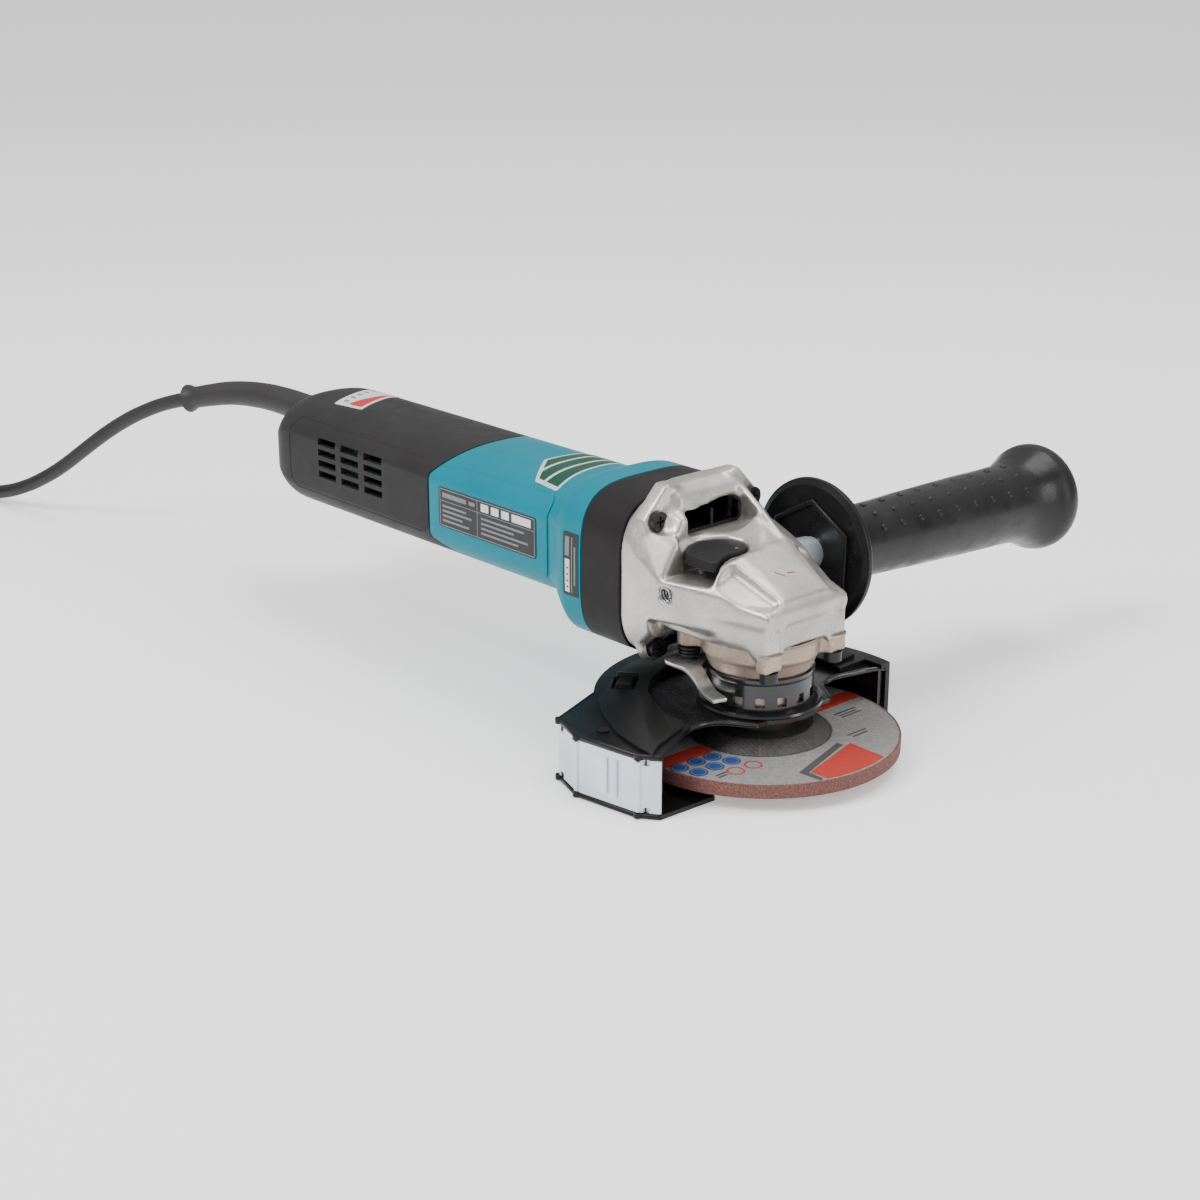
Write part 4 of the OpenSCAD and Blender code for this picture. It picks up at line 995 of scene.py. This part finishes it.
PROFILE = [(16.0, 20.9), (17.6, 21.6), (18.0, 24.0), (17.4, 26.2), (16.7, 28.0), (16.9, 40), (17.3, 58),
           (18.0, 80), (18.5, 100), (19.0, 120), (19.3, 146), (20.4, 156.5), (23.2, 165), (25.7, 170.6),
           (26.5, 174.6), (26.0, 178.4), (24.2, 181.2), (21.0, 182.9), (16.0, 183.5), (5.0, 183.5)]
turn = smooth_path([(r, w, 0) for r, w in PROFILE], 4)
bm = lathe_bm([(5.0, 20.9)] + [(r, w) for r, w, _ in turn], handle, 96)
for angle in (-88, -60, -34, 92, 120, 146):
    for k in range(10):
        a = math.radians(angle)
        w = 33.5 + k * 12.9
        r = 16.95 + max(0.0, w - 40) * 0.0215
        top = handle(r * math.cos(a), r * math.sin(a), w)
        out = (top - handle(0, 0, w)).normalized()
        knob = bmesh.new()
        bmesh.ops.create_uvsphere(knob, u_segments=16, v_segments=8, radius=1.7 * MM)
        for v in knob.verts:
            v.co = top + v.co - out * (v.co.dot(out) * 0.5 + 0.05 * MM)
        join(bm, knob)
grip = new_piece("grip_cover", bm, RUBBER, "housing", 45.0)
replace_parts(grip, "handle_grip")

FACE = 13.0
profile = [(5.1, FACE + 0.1), (29.6, FACE + 0.2), (31.2, FACE - 0.2),
           (32.4, FACE + 0.3), (34.2, FACE + 1.0), (34.5, FACE + 2.4), (34.0, FACE + 3.6), (31.0, 17.9),
           (24.0, 19.4), (20.0, 20.6), (16.0, 20.8), (5.1, 20.8)]
bm = lathe_bm(profile, handle, 128)
flange = new_piece("flange_disc", bm, BLACK, "housing", 35.0)
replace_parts(flange, "handle_flange")
bm = bmesh.new()
hexes = []
for r, w in ((25.5, FACE + 0.6), (25.5, FACE - 1.5), (24.3, FACE - 1.9), (22.9, FACE - 1.7),
             (22.6, FACE + 0.6)):
    hexes.append([handle(r * math.cos(a), r * math.sin(a), w)
                  for a in (math.radians(60 * k + 30) for k in range(6))])
rings_to_mesh(bm, hexes, closed=True)
bevel(new_piece("flange_hex", bm, BLACK, "housing", 30.0), 0.3, 2, 30.0)
bm = lathe_bm([(4.0, 0.4), (7.6, 0.4), (8.3, 1.2), (8.3, 4.6), (7.5, 5.4), (7.5, 13.2), (4.0, 13.2)],
              handle, 64)
new_piece("stud_collar", bm, CHROME, "housing", 35.0)

# ---- Body panels, labels and badge ----


def ridge(name, outline, target, ray, r, mat, step=3.0, lift=0.0):
    """A thin raised line that follows a closed outline on a surface."""
    place, direction = ray
    tree = tree_of(target)
    pts = []
    for i in range(len(outline)):
        a, b = Vector(outline[i - 1]), Vector(outline[i])
        for k in range(max(1, round((b - a).length / step))):
            q = a + (b - a) * k / max(1, round((b - a).length / step))
            hit, normal, _, _ = tree.ray_cast(place(*q), direction)
            if hit is None:
                continue
            hit = hit - direction * lift * MM
            pts.append(tuple(hit / MM - BASE))
    return new_piece(name, tube_bm(pts + pts[:1], r, 8), mat, "housing", 60.0)


SIDE = [(-307, 57), (-307, 84), (-302, 89), (-194.5, 88.4), (-190.8, 84.5), (-190.8, 57), (-195, 52.4),
        (-302, 52.4)]
TEAL_PANEL = [(-187.7, 82), (-184.5, 86.4), (-171.7, 88.2), (-104, 89.2), (-102, 87), (-102, 54),
              (-104.5, 51.2), (-170.4, 49.9), (-184, 51.6), (-187.6, 56)]
for side, ray in (("near", NEAR_RAY), ("far", FAR_RAY)):
    ridge("tail_line_" + side, rounded(SIDE, 4, 4), tail, ray, 0.55, DARK, lift=-0.25)
panel = skin_plate("teal_panel", rounded(TEAL_PANEL, 3, 3), teal_shell, NEAR_RAY, 0.55, TEAL, edge=0.3,
                   sink=0.4)
ridge("teal_line_far", rounded(TEAL_PANEL, 3, 3), teal_shell, FAR_RAY, 0.5, TEAL, lift=-0.2)

plate = skin_plate("rating_film", rounded(oblong(-181, -109.3, 59.3, 79), 1.5, 3),
                   panel, NEAR_RAY, 0.2, LABEL)
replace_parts(plate, "rating_labels")
frame_lines = [(-180, 78.0, -110.3, 78.4), (-180, 59.9, -110.3, 60.3), (-180, 60, -179.6, 78.4),
               (-110.7, 60, -110.3, 78.4), (-152, 60, -151.6, 78), (-180, 72.2, -110.3, 72.5)]
bars = [(-178, 74.2, -160, 76.4), (-158, 74.4, -153.6, 76.2)]
for row, (left, right) in enumerate(((18, 31), (22, 24), (15, 34), (20, 27))):
    z = 69.4 - row * 2.4
    bars += [(-178, z, -178 + left, z + 1.0), (-149, z, -149 + right, z + 1.0)]
marks("rating_lines", plate, NEAR_RAY, frame_lines + bars, GREY, 0.08)
marks("rating_cells", plate, NEAR_RAY, [(-149, 73.4, -143.5, 77.2), (-141.5, 73.4, -136, 77.2),
                                        (-134, 73.4, -128.5, 77.2), (-126.5, 73.4, -113, 77.2)], WHITE, 0.08)
serial = skin_plate("serial_film", rounded(oblong(-85, -74.8, 50.5, 80), 0.8, 2),
                    teal_shell, NEAR_RAY, 0.2, LABEL)
marks("serial_white", serial, NEAR_RAY, [(-83.6, 52, -80.6, 67.5)], WHITE, 0.08)
marks("serial_lines", serial, NEAR_RAY, [(-79.4, 52, -78.8, 78), (-77.6, 56, -76.6, 74),
                                         (-83.6, 69, -80.8, 78)], GREY, 0.08)
marks("serial_dots", serial, NEAR_RAY, [(-82.6, z, -81.4, z + 0.8) for z in (54, 57, 60, 63)], LABEL, 0.12)

TOP_LABEL = [(-292, -15.6), (-271, -13.6), (-284, 20.6), (-305, 20.3)]
top_label = skin_plate("top_film", rounded(TOP_LABEL, 0.8, 2), tail, TOP_RAY, 0.2, WHITE)
marks("top_wedge", top_label, TOP_RAY, [[(-284, -12.6), (-273.8, -11.6), (-285.6, 18.4)]], RED, 0.1)
marks("top_lines", top_label, TOP_RAY, [
    [(x, y), (x + 3.4, y + 0.3), (x + 2.6, y + 2.2), (x - 0.8, y + 1.9)] for x, y in (
        (-290.5, -11), (-292.9, -5), (-295.3, 1), (-297.7, 7), (-300.1, 13))], GREY, 0.1)
BADGE = [(-134.5, -8.2), (-122, -24.5), (-105, -26), (-107.5, -4.4), (-109.5, 22), (-132, 22)]
badge = skin_plate("badge_film", rounded(BADGE, 1.5, 3), teal_shell, TOP_RAY, 0.2, SILVER)
marks("badge_bars", badge, TOP_RAY, [
    [(-132.8, -7.6), (-126.5, -15.6), (-126.5, 20.4), (-131.2, 20.4)],
    [(-124.5, -18.2), (-121.4, -22.6), (-117.6, -23.0), (-117.6, 20.4), (-124.5, 20.4)],
    [(-115.6, -23.2), (-106.8, -24.0), (-109.0, -4.6), (-110.9, 20.4), (-115.6, 20.4)]], GREEN)
marks("casting_dashes", housing, TOP_RAY, [[(11.6, -5.2), (12.2, -5.5), (15.6, -1.6), (15.0, -1.3)],
                                           [(13.4, 0.6), (14.1, 0.5), (14.9, 4.6), (14.2, 4.7)]], MARK, 0.05)

# ---- Mains lead, its sleeve and plug ----

SLEEVE_ROUTE = [(-327, 0, 80), (-340, 0, 80.4), (-355, -1, 81.4), (-370, -3, 82), (-385, -6, 81.6),
                (-400, -10, 80), (-414, -15, 77), (-428, -20, 73.4)]
route = smooth_path(SLEEVE_ROUTE, 8)
radii = []
for i in range(len(route)):
    t = i / (len(route) - 1)
    r = 8.4 - 2.6 * t
    r += 2.2 * smoothstep((0.07 - t) / 0.07) + 2.0 * smoothstep((t - 0.93) / 0.05)
    radii.append(min(r, 10.0))
radii[-1] = 6.4
sleeve = new_piece("lead_sleeve", tube_bm(route, radii, 40), SLEEVE, "housing", 50.0)
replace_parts(sleeve, "cord_guard")

LEAD = [(-428, -20, 73.4), (-444, -25, 68.4), (-460, -30, 61.6), (-476, -35, 53), (-492, -40, 42.6),
        (-508, -45, 31), (-524, -50, 19.4), (-540, -55, 9.6), (-556, -59, 2), (-572, -63, -3.6),
        (-588, -66, -6.8), (-604, -69, -7.8), (-620, -72, -7.9), (-638, -77, -7.9), (-652, -86, -7.9)]
LEAD_RADIUS = 4.0
COIL = (-622, -142)
TURNS = [  # turn, radius, height of the lead's middle
    (0.0, 57.0, -7.9), (0.15, 53.0, -7.9), (1.15, 44.6, -7.9), (2.15, 36.0, -7.9), (2.55, 36.0, -3.9),
    (2.85, 36.0, 0.3), (3.85, 44.2, 0.3), (4.85, 52.4, 0.3), (5.1, 52.4, 4.5), (5.3, 52.4, 8.5),
    (6.05, 52.4, 8.5), (6.3, 44.0, 8.5), (6.62, 44.0, 8.6), (6.72, 47.0, 12.6), (6.80, 52.0, 16.9),
    (6.90, 57.0, 15.0), (7.0, 60.6, 10.5), (7.14, 61.0, 3.0), (7.28, 61.0, -4.0), (7.36, 60.6, -7.4),
    (7.4217, 60.2, -7.9)]
coil_points = []
POINTS_A_TURN = 16
FIRST_ANGLE = 129.3
for k in range(1, int(TURNS[-1][0] * POINTS_A_TURN) + 1):
    t = k / POINTS_A_TURN
    for (t0, r0, z0), (t1, r1, z1) in zip(TURNS, TURNS[1:]):
        if t0 <= t <= t1:
            f = (t - t0) / (t1 - t0)
            r, z = r0 + (r1 - r0) * f, z0 + (z1 - z0) * f
            a = math.radians(FIRST_ANGLE + 360 * t)
            coil_points.append((COIL[0] + r * math.cos(a), COIL[1] + r * math.sin(a), z))
            break
LEAD_END = [(-600, -204.4, -7.9), (-588, -207, -7.6), (-577, -208.4, -5), (-566, -209, -1)]
whole_lead = LEAD + [(-658, -98, -7.9)] + coil_points + LEAD_END
curve = bpy.data.curves.new("mains_lead", "CURVE")
curve.dimensions = "3D"
spline = curve.splines.new("BEZIER")
spline.bezier_points.add(len(whole_lead) - 1)
for bp, p in zip(spline.bezier_points, whole_lead):
    bp.co = pt(*p)
    bp.handle_left_type = bp.handle_right_type = "AUTO"
spline.resolution_u = 4
curve.bevel_depth = LEAD_RADIUS * MM
curve.bevel_resolution = 5
curve.use_fill_caps = True
curve.materials.append(CORD)
lead = bpy.data.objects.new("mains_lead", curve)
bpy.context.scene.collection.objects.link(lead)
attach(lead, "housing")
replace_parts(lead, "power_cord", "cord_coil")


PLUG = (-567, -209, -0.5)


def plug_at(u, v, w):
    return pt(PLUG[0] + u, PLUG[1] + v, PLUG[2] + w)


def oval(u, hw, hh, n, count=48):
    out = []
    for a in around(count):
        c, s = math.cos(a), math.sin(a)
        out.append(plug_at(u, hw * math.copysign(abs(c) ** (2 / n), c),
                           hh * math.copysign(abs(s) ** (2 / n), s)))
    return out


bm = bmesh.new()
rings_to_mesh(bm, [oval(u, w, h, n) for u, w, h, n in (
    (0, 5.0, 5.0, 2), (0.6, 5.8, 5.8, 2), (4, 5.8, 5.8, 2), (4.4, 5.0, 5.0, 2), (6, 5.0, 5.0, 2),
    (6.4, 6.2, 6.2, 2), (9.6, 6.4, 6.4, 2), (10, 5.4, 5.4, 2), (11.8, 5.6, 5.6, 2), (12.2, 7.0, 6.8, 2),
    (15, 8.4, 7.6, 2.1), (19, 10.6, 8.4, 2.3), (23, 13.6, 9.0, 2.6), (28, 16.2, 9.3, 3.0),
    (34, 16.9, 9.4, 3.4), (43.4, 16.9, 9.4, 3.6), (44.6, 16.2, 8.8, 3.4), (45, 15.4, 8.0, 3.2))])
for k in range(4):
    x = PLUG[0] + 27 + k * 3.6
    for s in (-1, 1):
        z = PLUG[2] + s * 8.9
        join(bm, rod_bm((x, PLUG[1] - 8.5, z), (x, PLUG[1] + 8.5, z), 0.9, sides=10))
plug = new_piece("mains_plug", bm, BLACK, "housing", 40.0)
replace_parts(plug, "power_plug")


def on_pins(name, profile, mat):
    """The same turned shape on both pins of the plug."""
    return new_piece(name, merged(lathe_bm(profile, lambda u, v, w, s=s: plug_at(w, s * 9.5 + u, v), 24)
                                  for s in (-1, 1)), mat, "housing", 40.0)


pins = on_pins("plug_pins", [(0.2, 44.5), (2.4, 44.5), (2.4, 62.6), (1.9, 63.7), (0.9, 64.0), (0.1, 64.0)],
               STEEL)
pin_sleeves = on_pins("pin_sleeves", [(2.42, 44.8), (2.6, 45.0), (2.6, 54.6), (2.42, 54.8)], BLACK)

# ---- Camera, light and floor ----

floor_bm = bmesh.new()
bmesh.ops.create_grid(floor_bm, x_segments=4, y_segments=4, size=80.0)
floor_mesh = bpy.data.meshes.new("floor")
floor_bm.to_mesh(floor_mesh)
floor_bm.free()
floor = bpy.data.objects.new("floor", floor_mesh)
floor.location = (0, 0, -0.0003)
bpy.context.scene.collection.objects.link(floor)
fm = Nodes("floor", (0.93, 0.93, 0.93), 0.6)
fm.put("Emission Color", (1.0, 1.0, 1.0, 1.0))
fm.put("Emission Strength", 0.4)
fm.link(fm.ramp(fm.noise(3.0), [(0.3, (0.925, 0.925, 0.925)), (0.7, (0.94, 0.94, 0.94))]), "Base Color")
floor_mesh.materials.append(fm.mat)

world = bpy.data.worlds.new("studio")
bpy.context.scene.world = world
world.use_nodes = True
sky = world.node_tree
where = sky.nodes.new("ShaderNodeTexCoord")
parts = sky.nodes.new("ShaderNodeSeparateXYZ")
fade = sky.nodes.new("ShaderNodeValToRGB")
sky.links.new(where.outputs["Generated"], parts.inputs[0])
sky.links.new(parts.outputs["Z"], fade.inputs["Fac"])
fade.color_ramp.elements[0].position = 0.0
fade.color_ramp.elements[0].color = (0.55, 0.55, 0.56, 1)
fade.color_ramp.elements[1].position = 0.75
fade.color_ramp.elements[1].color = (1, 1, 1, 1)
sky.links.new(fade.outputs["Color"], sky.nodes["Background"].inputs["Color"])
sky.nodes["Background"].inputs["Strength"].default_value = 0.8


def area(name, at_point, target, size, power):
    light = bpy.data.lights.new(name, "AREA")
    light.shape = "RECTANGLE"
    light.size, light.size_y = size
    light.energy = power
    ob = bpy.data.objects.new(name, light)
    bpy.context.scene.collection.objects.link(ob)
    ob.location = at_point
    ob.rotation_euler = (Vector(target) - Vector(at_point)).to_track_quat("-Z", "Y").to_euler()
    return ob


area("key", (-0.3, -1.3, 1.6), (0.05, 0, 0.05), (1.0, 1.0), 36)
area("top", (0.2, 0.5, 1.9), (0.0, 0, 0.05), (1.4, 1.0), 20)
area("side", (1.7, 0.6, 0.7), (0.1, 0, 0.05), (0.5, 1.2), 9)

cam_data = bpy.data.cameras.new("camera")
cam_data.lens = 66.0
cam_data.sensor_width = 36.0
cam = bpy.data.objects.new("camera", cam_data)
bpy.context.scene.collection.objects.link(cam)
cam.location = pt(620.5, -654.0, 373.5)
cam.rotation_euler = (pt(-46.97, -52.09, 59.88) - cam.location).to_track_quat("-Z", "Y").to_euler()
bpy.context.scene.camera = cam
